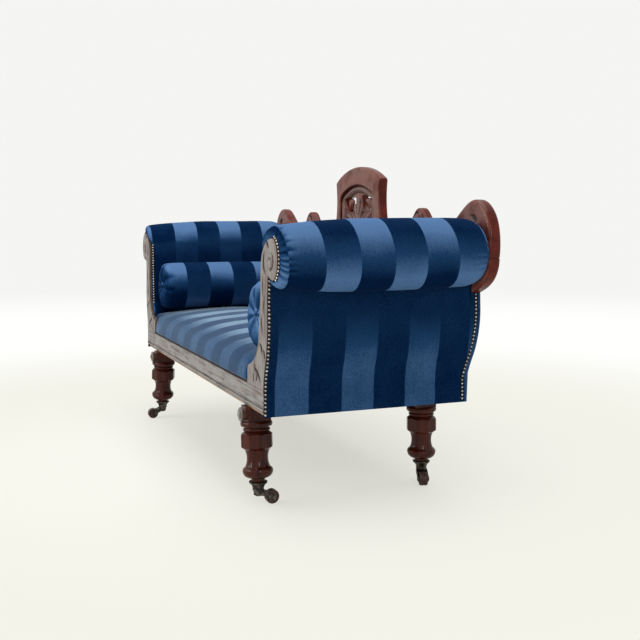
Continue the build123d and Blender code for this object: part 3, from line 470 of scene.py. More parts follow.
eye_radius = 0.0155
eye_turns = [0.2 * i for i in range(32)]
eye_ring = [(0.833 + eye_radius * math.cos(t), 0.681 + eye_radius * math.sin(t)) for t in eye_turns]
facing_cuts = [
    run(eye_ring, 0.0042, 0.0022),
    gouge([(0.786, 0.712), (0.770, 0.692), (0.772, 0.668), (0.790, 0.654)], 0.0085, 0.0046),
    gouge([(0.793, 0.744), (0.806, 0.735), (0.820, 0.722)], 0.0070, 0.0040),
    gouge([(0.770, 0.722), (0.746, 0.699), (0.740, 0.640), (0.757, 0.560), (0.748, 0.490)], 0.0060, 0.0015),
    gouge([(0.756, 0.520), (0.748, 0.480), (0.730, 0.440), (0.694, 0.412), (0.655, 0.404)], 0.0060, 0.0015),
    gouge([(0.795, 0.645), (0.786, 0.600), (0.794, 0.540), (0.786, 0.470)], 0.0070, 0.0013),
    gouge([(0.775, 0.650), (0.760, 0.622), (0.776, 0.590)], 0.0085, 0.0024),
    gouge([(0.790, 0.602), (0.768, 0.570), (0.784, 0.540)], 0.0085, 0.0022),
    gouge([(0.762, 0.545), (0.752, 0.520), (0.770, 0.490)], 0.0085, 0.0026),
    gouge([(0.742, 0.466), (0.762, 0.457), (0.765, 0.440)], 0.0075, 0.0046),
    gouge([(0.773, 0.452), (0.787, 0.442), (0.786, 0.429)], 0.0065, 0.0044),
    gouge([(0.693, 0.406), (0.710, 0.396), (0.699, 0.385)], 0.0060, 0.0044),
    gouge([(0.690, 0.394), (0.718, 0.392), (0.742, 0.378), (0.752, 0.358)], 0.0062, 0.0046),
    gouge([(0.716, 0.384), (0.726, 0.374), (0.712, 0.360)], 0.0055, 0.0044),
    gouge([(0.684, 0.380), (0.694, 0.366), (0.686, 0.352)], 0.0055, 0.0040),
]
volute_shoulder = 0.850
volute_draw_in = 0.74
for side, cuts in (("right", facing_cuts), ("left", mirrored(facing_cuts))):
    board = board_copy(f"scroll_facing_{side}", facing_skin)
    for vert in board.vertices:
        beyond = abs(vert.co.x) - volute_shoulder
        if beyond > 0:
            vert.co.x = math.copysign(volute_shoulder + volute_draw_in * beyond, vert.co.x)
    carve(board, cuts, facing_face)
    facing = link_piece(f"carved_facing_{side}", board, material=dry_upright)
    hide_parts(f"scroll_facing_{side}")

# The wooden back: a tall crest tablet with a carved and pierced panel, two long rails with a carved lobe
# and the top of an ear, and the ears' lower cheeks, all cut from thick boards and polished.
board_skin = 0.0022
rail_face = 0.309
crest_face = 0.318
back_dark = (0.064, 0.0045, 0.0014, 1)
back_light = (0.132, 0.0140, 0.0045, 1)
# The back's front and top faces are lightened by bloom in the old polish and by a painted reflection from
# above.
back_bloom_and_sheen = (0.240, 0.132, 0.108, 1)
# Painted shade for carved hollows.
back_hollow_shade = (0.016, 0.008, 0.006, 1)
# Painted highlight for raised ribs.
rib_highlight_grey = (0.150, 0.108, 0.092, 1)
back_finish = {"coat": 0.32, "dry": 0.1, "hollow_dark": back_hollow_shade, "raised_light": rib_highlight_grey}
back_wood = wood("mahogany_back", back_dark, back_light, 0.5, back_bloom_and_sheen, **back_finish)
ear_cuts = [
    gouge([(0.800, 0.809), (0.816, 0.810), (0.836, 0.803), (0.838, 0.790)], 0.0065, 0.0044),
    gouge([(0.808, 0.801), (0.820, 0.801), (0.832, 0.793), (0.826, 0.784)], 0.0055, 0.0038),
    gouge([(0.442, 0.786), (0.446, 0.812), (0.470, 0.830), (0.492, 0.818)], 0.0060, 0.0042),
    gouge([(0.492, 0.818), (0.502, 0.806), (0.494, 0.792), (0.480, 0.796)], 0.0055, 0.0040),
    gouge([(0.512, 0.786), (0.516, 0.806), (0.504, 0.822)], 0.0055, 0.0038),
    gouge([(0.420, 0.770), (0.452, 0.778), (0.480, 0.772), (0.520, 0.764)], 0.0055, 0.0036),
    gouge([(0.240, 0.742), (0.300, 0.726), (0.360, 0.734), (0.410, 0.752)], 0.0050, 0.0030),
    gouge([(0.560, 0.752), (0.620, 0.734), (0.680, 0.746), (0.730, 0.780)], 0.0050, 0.0030),
]
for side, cuts in (("right", ear_cuts), ("left", mirrored(ear_cuts))):
    board = board_copy(f"back_rail_{side}", board_skin, 4)
    carve(board, cuts, rail_face)
    rail = link_piece(f"carved_back_rail_{side}", board, material=back_wood)
    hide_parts(f"back_rail_{side}")
    dress(back_wood, f"ear_cheek_{side}")


def panel_edge(inset):
    """The arched outline of the crest's sunk panel, some way inside it."""
    half, arch = 0.150 - inset, 0.930 - inset
    shoulder = arch - 0.040
    corner = (half - 0.009, shoulder + 0.004)
    return (
        line((-half, 0.746), (-half, shoulder - 0.018), 26)
        + arc((-half, shoulder - 0.018), (-corner[0], corner[1]), (-half + 0.030, shoulder + 0.014), 8)
        + arc((-half + 0.030, shoulder + 0.014), (0.0, arch), (half - 0.030, shoulder + 0.014), 44)
        + arc((half - 0.030, shoulder + 0.014), corner, (half, shoulder - 0.018), 8)
        + line((half, shoulder - 0.018), (half, 0.746), 26)
    )


leaf_foot = (0.0, 0.752)


def vein(turn, start, end, width, depth):
    """A stroke that rises from the foot of the leaf fan and bends outwards."""
    angle = math.radians(turn)
    bent = angle - 0.16
    stroke = []
    for reach, way in ((start, angle), (0.55 * end, angle + 0.05), (end, bent)):
        stroke.append((leaf_foot[0] + reach * math.cos(way), leaf_foot[1] + reach * math.sin(way)))
    return gouge(stroke, width, depth)


leaf_ribs = ((26, 0.124), (44, 0.130), (62, 0.092), (79, 0.128))
leaf_grooves = ((17, 0.116), (35, 0.126), (53, 0.104), (70, 0.100), (87, 0.118))
ground_heights = (0.765, 0.785, 0.805, 0.825, 0.845, 0.865)
crest_leaf = [vein(turn, 0.012, reach, 0.0115, -0.0070) for turn, reach in leaf_ribs]
crest_leaf += [vein(turn, 0.016, reach, 0.0050, 0.0036) for turn, reach in leaf_grooves]
# The panel's shallow sunk ground also takes painted shade from its depth.
crest_ground = [run(line((-0.105, z), (0.105, z), 40), 0.020, 0.0017) for z in ground_heights]
crest_cuts = crest_ground + [
    run(panel_edge(0.0025), 0.0055, 0.0032),
    run(panel_edge(0.0150), 0.0120, -0.0085),
    run(panel_edge(0.0275), 0.0040, 0.0026),
    gouge([(0.0, 0.750), (0.0, 0.800), (0.0, 0.850), (0.0, 0.900)], 0.0100, -0.0080),
]
board = board_copy("crest_tablet", board_skin, 4)
carve(board, crest_cuts + crest_leaf + mirrored(crest_leaf), crest_face)
crest = link_piece("carved_crest", board, material=back_wood)
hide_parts("crest_tablet")

tip_length = 0.041
tip_width = 0.0225
tip_thickness = 0.011
tip_curl = 0.016
tip_turn = 2.5
tip_place = (0.090, 0.327, 0.862)
bm = bmesh.new()
for side in (1, -1):
    made = bmesh.ops.create_uvsphere(bm, u_segments=28, v_segments=16, radius=1.0)["verts"]
    for vert in made:
        along, thick, across = vert.co
        slim = (1 - 0.45 * max(along, 0.0)) * (1 - 0.16 * abs(math.sin(9 * across)))
        wide = tip_width * across * slim + tip_curl * along * along
        x = tip_place[0] + tip_length * along * math.cos(tip_turn) - wide * math.sin(tip_turn)
        y = tip_place[1] + tip_thickness * thick * slim - 0.006 * along
        z = tip_place[2] + tip_length * along * math.sin(tip_turn) + wide * math.cos(tip_turn)
        vert.co = (side * x, y, z)
bmesh.ops.recalc_face_normals(bm, faces=bm.faces)
link_piece("crest_leaf_tips", finished(bm, "crest_leaf_tips"), material=back_wood)

# Underneath: jute webbing strained over the rails, and a black bottom cloth tacked below them, cut
# round the leg blocks; it sags a little between the tacks.


def cloth_weave(name, dark, light, scale):
    """Plain woven cloth: threads over and under, slightly uneven in colour."""
    material, tree, output = blank_material(name)
    vector = shader_node(tree, "TexCoord").outputs["Object"]
    threads = []
    for turn in (0.0, math.pi / 2):
        turned_to = shader_node(tree, "Mapping", {"Vector": vector, "Rotation": (0, 0, turn)}).outputs[0]
        thread = {"Vector": turned_to, "Scale": scale, "Distortion": 0.6, "Detail": 2.0}
        threads.append(shader_node(tree, "TexWave", thread).outputs["Fac"])
    over = calc(tree, "MAXIMUM", threads[0], threads[1])
    patch = cloudy(tree, vector, 35.0, 4.0)
    share = calc(tree, "MULTIPLY", over, fade(tree, patch, 0.2, 0.8))
    surface = {
        "Base Color": blend_colour(tree, share, dark, light),
        "Roughness": calc(tree, "ADD", 0.8, calc(tree, "MULTIPLY", patch, 0.15)),
        "Normal": relief(tree, over, 0.5, 0.0006),
        "Specular IOR Level": 0.2,
    }
    surfaced(tree, output, surface)
    return material


jute = cloth_weave("webbing_jute", (0.22, 0.15, 0.085, 1), (0.42, 0.31, 0.19, 1), 260.0)
black_linen = cloth_weave("bottom_linen", (0.012, 0.012, 0.013, 1), (0.04, 0.038, 0.036, 1), 320.0)
dress(jute, "seat_webbing")
cloth_low, cloth_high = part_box("bottom_cloth")
cloth_sag = 0.006
cloth_size = (cloth_high[0] - cloth_low[0], cloth_high[1] - cloth_low[1])
leg_block_x = 0.604
leg_clear_x = 0.050
leg_clear_y = 0.044
bm = bmesh.new()
bmesh.ops.create_grid(bm, x_segments=74, y_segments=28, size=0.5)
for vert in bm.verts:
    share_x, share_y = vert.co.x * 2, vert.co.y * 2
    drop = cloth_sag * (1 - share_x**6) * (1 - share_y**4)
    x = vert.co.x * cloth_size[0]
    y = vert.co.y * cloth_size[1] + (cloth_low[1] + cloth_high[1]) / 2
    vert.co = (x, y, cloth_low[2] + 0.0004 - drop)
under_legs = set()
for corner in corners:
    leg_low, leg_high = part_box(f"leg_{corner}")
    leg_x = math.copysign(leg_block_x, leg_low[0] + leg_high[0])
    leg_y = (leg_low[1] + leg_high[1]) / 2
    for face in bm.faces:
        middle = face.calc_center_median()
        if abs(middle.x - leg_x) < leg_clear_x and abs(middle.y - leg_y) < leg_clear_y:
            under_legs.add(face)
bmesh.ops.delete(bm, geom=[face for face in bm.faces if face in under_legs], context="FACES")
bmesh.ops.solidify(bm, geom=bm.faces[:], thickness=0.0008)
bmesh.ops.recalc_face_normals(bm, faces=bm.faces)
under_mesh = finished(bm, "bottom_cloth_sheet", smooth=False)
under = link_piece("bottom_cloth_sheet", under_mesh, material=black_linen)
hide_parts("bottom_cloth")

# Arm covers: one piece of velvet from the seat up the inside arm, over the stuffed roll and down to
# the crevice; its front is gathered in pleats round the volute and nailed, its back drawn in to the ear.
roll_axis = (0.838, 0.700)
roll_radius = 0.099
roll_shoulder_front = 0.084
roll_shoulder_back = 0.096
roll_mouth_back = 0.060
roll_climb = 0.006
roll_front = -0.3048
roll_back = 0.3025
shoulder_front = roll_front + 0.024
shoulder_back = roll_back - 0.058
facing_rear = -0.2985
inside_edge = 0.012
pleat_count = 23
pleat_depth = 0.0070
front_swell = 0.013
band_pitch = 0.0965


def drawn_through(name, section, stations, place):
    """A mesh drawn as a closed ring of section points through the stations, with both ends closed."""
    bm = bmesh.new()
    ring = [bm.verts.new(place(point, stations[0])) for point in section]
    edges = [bm.edges.new(pair) for pair in zip(ring, ring[1:] + ring[:1])]
    caps = [bm.faces.new(ring)]
    for station in stations[1:]:
        made = bmesh.ops.extrude_edge_only(bm, edges=edges)["geom"]
        fresh = {item for item in made if isinstance(item, bmesh.types.BMVert)}
        edges = [e for e in made if isinstance(e, bmesh.types.BMEdge) and fresh.issuperset(e.verts)]
        ring = [next(e.other_vert(v) for e in v.link_edges if e.other_vert(v) in fresh) for v in ring]
        for vert, point in zip(ring, section):
            vert.co = place(point, station)
    caps.append(bm.faces.new(ring))
    bmesh.ops.triangulate(bm, faces=caps)
    bmesh.ops.recalc_face_normals(bm, faces=bm.faces)
    return finished(bm, name)


def lump(point, size, height):
    """A gentle unevenness of the stuffing."""
    return height * noise.noise(Vector(point) / size)


def ease(value, start, end):
    """0 before the start, 1 after the end, smooth between them."""
    share = min(max((value - start) / (end - start), 0.0), 1.0)
    return share * share * (3 - 2 * share)


def pleat_line(angle):
    """How deep a gathered pleat lies at an angle round the roll: 1 in the fold, 0 on the crown."""
    wander = 0.9 * math.sin(3 * angle + 0.7) + 0.6 * math.sin(7 * angle + 2.1)
    uneven = 0.62 + 0.38 * math.sin(5 * angle + 1.1) * math.sin(2 * angle + 0.3)
    uneven *= ease(angle, math.radians(130), math.radians(85))
    return uneven * (1 - abs(math.sin(pleat_count * angle / 2 + wander))) ** 1.3


stem_points = (
    arc((0.774, 0.342), (0.779, 0.3767), (0.790, 0.4114), 14)
    + arc((0.790, 0.4114), (0.803, 0.4756), (0.806, 0.5398), 24)
    + arc((0.806, 0.5398), (0.805, 0.5988), (0.812, 0.652), 18)
)


def stem_x(z):
    """How far out the arm's outer line lies at a height."""
    heights = [p[1] for p in stem_points]
    return float(np.interp(z, heights, [p[0] for p in stem_points]))


def volute_point(angle):
    """Where the edge of the facing's volute lies from the roll's axis, before its outer side is drawn in."""
    if angle > math.pi / 2:
        centre, radius = -0.043, 0.091
    else:
        centre, radius = -0.011, 0.059
    reach = centre * math.sin(angle) + math.sqrt(radius**2 - (centre * math.cos(angle)) ** 2)
    reach = min(reach, 0.061) if angle < 0 else reach
    return reach * math.cos(angle), reach * math.sin(angle)


volute_line = []
for degrees in range(-124, 190, 2):
    x, z = volute_point(math.radians(degrees))
    beyond = max(0.0, roll_axis[0] + x - volute_shoulder)
    x -= (1 - volute_draw_in) * beyond
    turn = math.atan2(z, x)
    volute_line.append((turn % (2 * math.pi) if degrees > 90 else turn, math.hypot(x, z)))


def volute_edge(angle):
    """Distance from the roll's axis to the edge of the carved volute, at an angle round the roll."""
    return float(np.interp(angle, [p[0] for p in volute_line], [p[1] for p in volute_line]))


def roll_size(y, angle):
    """Radius of the roll at a distance along it."""
    mouth = volute_edge(angle) + 0.0035
    if y < shoulder_front:
        share = (shoulder_front - y) / (shoulder_front - roll_front)
        return mouth + (max(roll_shoulder_front, mouth + 0.01) - mouth) * math.sqrt(max(0.0, 1 - share**2))
    if y > shoulder_back:
        share = (y - shoulder_back) / (roll_back - shoulder_back)
        return roll_mouth_back + (roll_shoulder_back - roll_mouth_back) * math.sqrt(max(0.0, 1 - share**2))
    middle = (shoulder_front + shoulder_back) / 2
    share = (y - middle) / (shoulder_back - middle)
    shoulder = max(roll_shoulder_front, mouth + 0.01) if share < 0 else roll_shoulder_back
    return roll_radius - (roll_radius - shoulder) * share**2


inside_line = arc((0.702, 0.345), (0.718, 0.481), (0.739, 0.700), 40)
roll_turn = math.radians(292)
roll_steps = 150
back_line = [(stem_x(z) - 0.0075, z) for z in np.linspace(0.598, 0.345, 26)]
foot_line = line((stem_x(0.345) - 0.0075, 0.345), (0.702, 0.345), 6)[1:]
arm_section = [("inside", p) for p in inside_line]
arm_section += [("roll", math.pi - roll_turn * i / roll_steps) for i in range(roll_steps + 1)]
arm_section += [("hidden", p) for p in back_line + foot_line]
quarter = [math.sin(math.pi / 2 * i / 9) for i in range(10)]
rounding = [1 - math.sqrt(max(0.0, 1 - q * q)) for q in quarter]
front_stations = [roll_front + (shoulder_front - roll_front) * r for r in rounding]
middle_stations = list(np.linspace(shoulder_front, shoulder_back, 40))[1:-1]
back_stations = [roll_back - (roll_back - shoulder_back) * r for r in rounding][::-1]
arm_stations = ["plug", "lip"] + front_stations + middle_stations + back_stations


def arm_place(side):
    """Where a point of the arm's section goes at a station, on the right or the left arm."""

    def place(point, station):
        kind, where = point
        hidden_end = station in ("plug", "lip")
        y = facing_rear if hidden_end else station
        climb = roll_climb * (y - roll_front) / (roll_back - roll_front)
        if kind == "roll":
            angle = where
            gathered = ease(angle, math.radians(186), math.radians(146))
            if station == "plug":
                radius = 0.03
            elif station == "lip":
                radius = volute_edge(angle) + 0.0015
            else:
                radius = roll_size(y, angle)
                fold = pleat_line(angle)
                front_share = ease(y, shoulder_front + 0.012, roll_front + 0.006)
                back_share = ease(y, shoulder_back - 0.01, roll_back) * 0.4
                radius -= pleat_depth * fold * max(front_share, back_share)
                radius += lump((side, y, 0.1 * angle), 0.11, 0.0016) * (1 - front_share)
            full = roll_radius if not hidden_end else 0.085
            radius = full + (radius - full) * gathered
            x = roll_axis[0] + radius * math.cos(angle)
            z = roll_axis[1] + climb + radius * math.sin(angle)
            if not hidden_end and y < shoulder_front:
                share = (shoulder_front - y) / (shoulder_front - roll_front)
                forward = 2 * share * math.sqrt(max(0.0, 1 - share**2))
                y -= front_swell * forward * ease(angle, math.radians(55), math.radians(115))
            y = max(y, facing_rear) + (min(y - facing_rear, 0.0)) * gathered
            round_share = 1 - gathered
        else:
            x, z = where
            y = max(y, facing_rear)
            round_share = 1.0 if kind == "inside" else 0.0
            if hidden_end and kind == "inside":
                x += 0.02
        if round_share and y < facing_rear + inside_edge and not hidden_end:
            depth = (facing_rear + inside_edge - y) / inside_edge
            x += inside_edge * (1 - math.sqrt(max(0.0, 1 - depth**2))) * round_share
        if kind == "inside":
            x += lump((side, y, z), 0.12, 0.0018) - 0.024 * ease(z, 0.475, 0.430) * ease(y, -0.19, -0.28)
            z += climb * ease(z, 0.45, 0.70)
        return (side * x, y, z)

    return place


# The tone runs from dark through middle to light: the bands are the cloth's pattern, and the nap functions
# below add painted light, shade and sheen to it.
velvet_dark = (0.0007, 0.0098, 0.040, 1)
velvet_middle = (0.0115, 0.047, 0.126, 1)
velvet_light = (0.083, 0.168, 0.332, 1)
nap_values = [(value, "Float") for value in ("Across", "Tone", "Contrast", "Streak", "Edge")]
velvet_nap, given, result = new_group(
    "velvet_nap", [("Vector", "Vector"), ("Light", "Color")] + nap_values, surface_outputs
)
tree = velvet_nap
wobble = cloudy(tree, given["Vector"], 60.0, 3.0)
shifted = calc(tree, "ADD", given["Across"], calc(tree, "MULTIPLY", wobble, 0.0016))
angle = calc(tree, "MULTIPLY", shifted, math.pi / band_pitch)
wave = calc(tree, "MULTIPLY", calc(tree, "SINE", angle), given["Edge"])
band = calc(tree, "MINIMUM", calc(tree, "MAXIMUM", wave, -1.0), 1.0)
brushed = cloudy(tree, given["Vector"], 14.0, 5.0)
pile = cloudy(tree, given["Vector"], 260.0, 3.0)
comb_place = {"W": calc(tree, "MULTIPLY", shifted, 210.0), "Scale": 1.0, "Detail": 3.0}
combed = shader_node(tree, "TexNoise", comb_place, noise_dimensions="1D").outputs[0]
tone = calc(tree, "MULTIPLY_ADD", band, given["Contrast"], given["Tone"])
for uneven, strength in ((brushed, 0.45), (pile, 0.85), (combed, given["Streak"])):
    tone = calc(tree, "MULTIPLY_ADD", calc(tree, "SUBTRACT", uneven, 0.5), strength, tone)
lower = blend_colour(tree, calc(tree, "ADD", tone, 1.0, clamp=True), velvet_dark, velvet_middle)
upper = blend_colour(tree, calc(tree, "MAXIMUM", tone, 0.0, clamp=True), lower, given["Light"])
tree.links.new(upper, result["Color"])
tree.links.new(calc(tree, "ADD", 0.7, calc(tree, "MULTIPLY", brushed, 0.25)), result["Roughness"])
tree.links.new(pile, result["Height"])


def velvet(name, axis, shift, nap, sheen=0.03, sheen_tint=(0.30, 0.52, 0.85, 1), skew=0.0, **pile):
    """Velvet whose bands lie across an axis; nap says how tone and contrast follow the surface.

    Pile: Streak is how combed it looks, Light its brightest colour and Edge how sharp the bands are.
    """
    material, tree, output = blank_material(name)
    coords = shader_node(tree, "TexCoord").outputs
    place = split(tree, coords["Object"])
    tone, contrast = nap(tree, place, split(tree, coords["Normal"]))
    # The folds of pleats are darkened with painted shade.
    crease = shader_node(tree, "Attribute", attribute_name="crease").outputs["Fac"]
    leaning = calc(tree, "MULTIPLY_ADD", calc(tree, "SUBTRACT", place["Z"], 0.70), skew, place[axis])
    kind = {"Streak": 0.15, "Light": velvet_light, "Edge": 24.0, **pile}
    kind["Vector"] = coords["Object"]
    kind["Across"] = calc(tree, "SUBTRACT", leaning, shift)
    kind["Tone"] = calc(tree, "MULTIPLY_ADD", crease, -0.95, tone)
    kind["Contrast"] = contrast
    group = shader_node(tree, "Group", kind, node_tree=velvet_nap)
    surface = {
        "Base Color": group.outputs["Color"],
        "Roughness": group.outputs["Roughness"],
        "Normal": relief(tree, group.outputs["Height"], 0.35, 0.0012),
        "Specular IOR Level": 0.01,
        "Sheen Weight": sheen,
        "Sheen Roughness": 0.35,
        "Sheen Tint": sheen_tint,
    }
    surfaced(tree, output, surface)
    return material


def nap_on_roll(tree, place, facing):
    """Painted light and sheen: the roll is painted lighter on top, and the bands swap tone where the surface
    turns from up to down, light above being dark below.
    """
    turn = calc(tree, "MULTIPLY", facing["Z"], 1.5)
    contrast = calc(tree, "MINIMUM", calc(tree, "MAXIMUM", turn, -0.95), 0.95)
    return calc(tree, "MULTIPLY", facing["Z"], 0.12), contrast


def nap_on_arm(tree, place, facing):
    """As on a roll, with painted shade deepening the blue down the inside of the arm, and on the gathered
    front end painted light low down and painted shade higher up.
    """
    tone, contrast = nap_on_roll(tree, place, facing)
    inside = fade(tree, calc(tree, "ABSOLUTE", place["X"]), 0.825, 0.745)
    inside_shade = calc(tree, "MULTIPLY", inside, fade(tree, place["Z"], 0.79, 0.62))
    tone = calc(tree, "MULTIPLY_ADD", inside_shade, -0.9, tone)
    at_front = fade(tree, place["Y"], -0.24, -0.28)
    gathered = calc(tree, "MULTIPLY", fade(tree, facing["Y"], -0.25, -0.7), at_front)
    lit_below = calc(tree, "SUBTRACT", 0.30, calc(tree, "MULTIPLY", fade(tree, place["Z"], 0.65, 0.77), 0.75))
    return calc(tree, "MULTIPLY_ADD", gathered, lit_below, tone), contrast


velvet_arm = {
    "right": velvet("velvet_arm_right", "Y", band_pitch, nap_on_arm, skew=0.1),
    "left": velvet("velvet_arm_left", "Y", -0.0055, nap_on_arm),
}
for name, side in (("right", 1), ("left", -1)):
    mesh = drawn_through(f"arm_cover_{name}", arm_section, arm_stations, arm_place(side))
    # Each point's share of a pleat's fold, kept for painted shade in the folds.
    fold_shades = []
    for vert in mesh.vertices:
        angle = math.atan2(vert.co.z - roll_axis[1], abs(vert.co.x) - roll_axis[0])
        share = ease(vert.co.y, shoulder_front + 0.012, roll_front + 0.006)
        fold_shades.append(share * pleat_line(angle) if vert.co.z > roll_axis[1] - roll_radius else 0.0)
    mesh.attributes.new("crease", "FLOAT", "POINT").data.foreach_set("value", fold_shades)
    cover = link_piece(mesh.name, mesh, material=velvet_arm[name])
    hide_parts(f"arm_pad_{name}")

# Outside arms: flat velvet panels strained over the outer side of each arm, from under the roll to the
# underside of the rail, nailed down the front and the back edge.
panel_low = 0.2715
panel_high = 0.640
panel_thickness = 0.0050
panel_swell = 0.0025
panel_front = -0.3092
nail_pitch = 0.0108


def back_edge(z):
    """Where the outside back's bulge starts, at a height."""
    curve = arc((0.303, 0.342), (0.329, 0.516), (0.3212, 0.690), 30)
    return float(np.interp(z, [p[1] for p in curve], [p[0] for p in curve])) if z > 0.342 else 0.303


panel_heights = list(np.linspace(panel_low, panel_high, 120))
panel_section = [("outer", z) for z in panel_heights] + [("inner", z) for z in panel_heights[::-1]]
panel_stations = [0.5 - 0.5 * math.cos(math.pi * i / 56) for i in range(57)]


def panel_place(side):
    """Where a point of the panel goes, with the cloth strained a little proud between the nails."""

    def place(point, share):
        face, z = point
        back = back_edge(z) - 0.0005
        y = panel_front + (back - panel_front) * share
        lap = ease(y, facing_rear + 0.004, facing_rear)
        x = stem_x(z)
        if face == "inner":
            return (side * (x - panel_thickness + (panel_thickness + 0.0003) * lap), y, z)
        rise = math.sin(math.pi * share) ** 0.4 * ease(z, panel_low, panel_low + 0.03)
        edge_gap = min(y - panel_front, back - y)
        dimple = 0.0008 * ease(edge_gap, 0.016, 0.005) * math.cos(math.pi * z / nail_pitch) ** 2
        return (side * (x - 0.0006 + 0.0022 * lap + panel_swell * rise - dimple), y, z)

    return place


def nap_on_panel(tree, place, facing):
    """Painted shade and sheen: the panel is painted darker high up under the roll, and the bands show only
    low on the panel.
    """
    shown = fade(tree, place["Z"], 0.56, 0.40)
    tone = calc(tree, "ADD", -0.72, calc(tree, "MULTIPLY", shown, 0.42))
    return tone, calc(tree, "MULTIPLY", shown, 0.55)


velvet_panel = velvet("velvet_outside_arm", "Y", -0.181 - band_pitch, nap_on_panel, 0.02)
for name, side in (("right", 1), ("left", -1)):
    mesh = drawn_through(f"outside_arm_panel_{name}", panel_section, panel_stations, panel_place(side))
    panel = link_piece(mesh.name, mesh, material=velvet_panel)
    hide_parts(f"outside_arm_{name}")

# Seat: a hair-stuffed pad over the webbing, crowned both ways and rolled over the front rail, under one
# piece of velvet with its bands running from front to back.
seat_half = 0.720
seat_base = 0.3425
seat_crown = 0.103
seat_fall = 0.013
seat_front = -0.308
seat_rear = 0.231
facing_nose = 0.634
seat_tuck = -0.2975


def seat_section(height):
    """The seat's outline from front to back."""
    edge = (seat_front + 0.016, seat_base + 0.0715)
    rear = (seat_rear, seat_base + height - 0.012)
    middle = ((seat_front + seat_rear) / 2, seat_base + height)
    outline = arc((seat_front, seat_base), (seat_front - 0.007, seat_base + 0.0322), edge, 16)
    outline += arc(edge, middle, rear, 44)
    outline += line(rear, (seat_rear, seat_base), 8)
    return outline + line((seat_rear, seat_base), (seat_front, seat_base), 30)


seat_points = range(len(seat_section(seat_crown)))
seat_stations = [seat_half * math.copysign(abs(s) ** 0.85, s) for s in np.linspace(-1, 1, 121)]


def seat_place(index, x):
    """Where a point of the seat goes; beside the facings its front tucks in behind them."""
    height = seat_crown - seat_fall * (x / seat_half) ** 2
    y, z = seat_section(height)[index]
    tuck = ease(abs(x), facing_nose - 0.022, facing_nose - 0.003)
    y = y + max(0.0, seat_tuck - y) * tuck
    if z > seat_base + 0.02:
        z += lump((x, y, 0.3), 0.11, 0.0022)
    return (x, y, z)


def nap_on_seat(tree, place, facing):
    """Painted sheen: seen low along the pile, one nap is painted shining like silver on the flat and dimmer
    over the front edge.
    """
    flat = fade(tree, place["Y"], -0.295, -0.17)
    return calc(tree, "MULTIPLY_ADD", flat, 0.55, -0.26), calc(tree, "MULTIPLY_ADD", flat, 0.28, 0.27)


stuffing_pressure = 4.0
stuffing_frames = 20


def stuffed(mesh, skin, held, most):
    """Blow a slack cover up as stuffing does: it swells by at most so much where it isn't held."""
    cover = even_skin(mesh, skin)
    before = np.empty(len(cover.vertices) * 3)
    cover.vertices.foreach_get("co", before)
    full = bpy.data.objects.new(mesh.name + "_full", cover)
    scene.collection.objects.link(full)
    nailed = full.vertex_groups.new(name="nailed")
    nailed.add([v.index for v in cover.vertices if held(v.co)], 1.0, "REPLACE")
    cloth = full.modifiers.new("stuffing", "CLOTH")
    cloth.settings.quality = 4
    cloth.settings.mass = 0.3
    cloth.settings.use_pressure = True
    cloth.settings.uniform_pressure_force = stuffing_pressure
    cloth.settings.vertex_group_mass = "nailed"
    cloth.settings.effector_weights.gravity = 0.0
    cloth.point_cache.frame_start = 1
    cloth.point_cache.frame_end = stuffing_frames
    for step in range(1, stuffing_frames + 1):
        scene.frame_set(step)
    swollen = bpy.data.meshes.new_from_object(full.evaluated_get(bpy.context.evaluated_depsgraph_get()))
    after = np.empty(len(swollen.vertices) * 3)
    swollen.vertices.foreach_get("co", after)
    bpy.data.objects.remove(full)
    scene.frame_set(1)
    shift = (after - before).reshape(-1, 3)
    length = np.linalg.norm(shift, axis=1)
    reach = most * np.tanh(length / most)
    after = before.reshape(-1, 3) + shift * (reach / np.maximum(length, 1e-9))[:, None]
    cover.vertices.foreach_set("co", after.ravel())
    cover.update()
    return cover


def soften(piece):
    """One even subdivision over a stuffed cover."""
    smooth = piece.modifiers.new("smooth", "SUBSURF")
    smooth.levels = 1
    smooth.render_levels = 1


def seat_held(point):
    """Where the seat's cover is nailed or tucked away."""
    return point.z < seat_base + 0.018 or point.y > seat_rear - 0.012 or abs(point.x) > seat_half - 0.02


# The light bands' pale silvery colour is partly a painted sheen of the pile.
seat_pile_and_sheen = {"Streak": 1.3, "Light": (0.215, 0.320, 0.430, 1), "Edge": 5.0}
velvet_seat = velvet("velvet_seat", "X", -0.038, nap_on_seat, 0.48, (0.58, 0.74, 0.86, 1), **seat_pile_and_sheen)
mesh = drawn_through("seat_slack", list(seat_points), seat_stations, seat_place)
seat = link_piece("seat_cover", stuffed(mesh, 0.010, seat_held, 0.006), material=velvet_seat)
soften(seat)
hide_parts("seat_pad")

# Inside back and outside back: a padded velvet panel that laps the lower edge of the wooden back, and
# a velvet cover strained over the back of the frame.
inside_half = 0.741
inside_rows = (
    arc((0.230, 0.345), (0.212, 0.537), (0.248, 0.718), 50)
    + arc((0.248, 0.718), (0.264, 0.729), (0.285, 0.732), 8)
    + [(0.285, 0.732), (0.3025, 0.732), (0.3025, 0.694), (0.272, 0.680)]
    + line((0.270, 0.678), (0.270, 0.345), 20)
    + [(0.270, 0.345)]
)
inside_stations = list(np.linspace(-inside_half, inside_half, 110))


def inside_place(point, x):
    """Where a point of the inside back goes."""
    y, z = point
    slack = 0.004 + lump((x, z, 0.9), 0.12, 0.0022) if y < 0.255 else 0.0
    return (x, y + slack, z)


def nap_upright(tree, place, facing):
    """Bands of even contrast, a little stronger low down."""
    shown = fade(tree, place["Z"], 0.70, 0.40)
    tone = calc(tree, "SUBTRACT", calc(tree, "MULTIPLY", shown, 0.35), 0.55)
    return tone, calc(tree, "ADD", calc(tree, "MULTIPLY", shown, 0.2), 0.35)


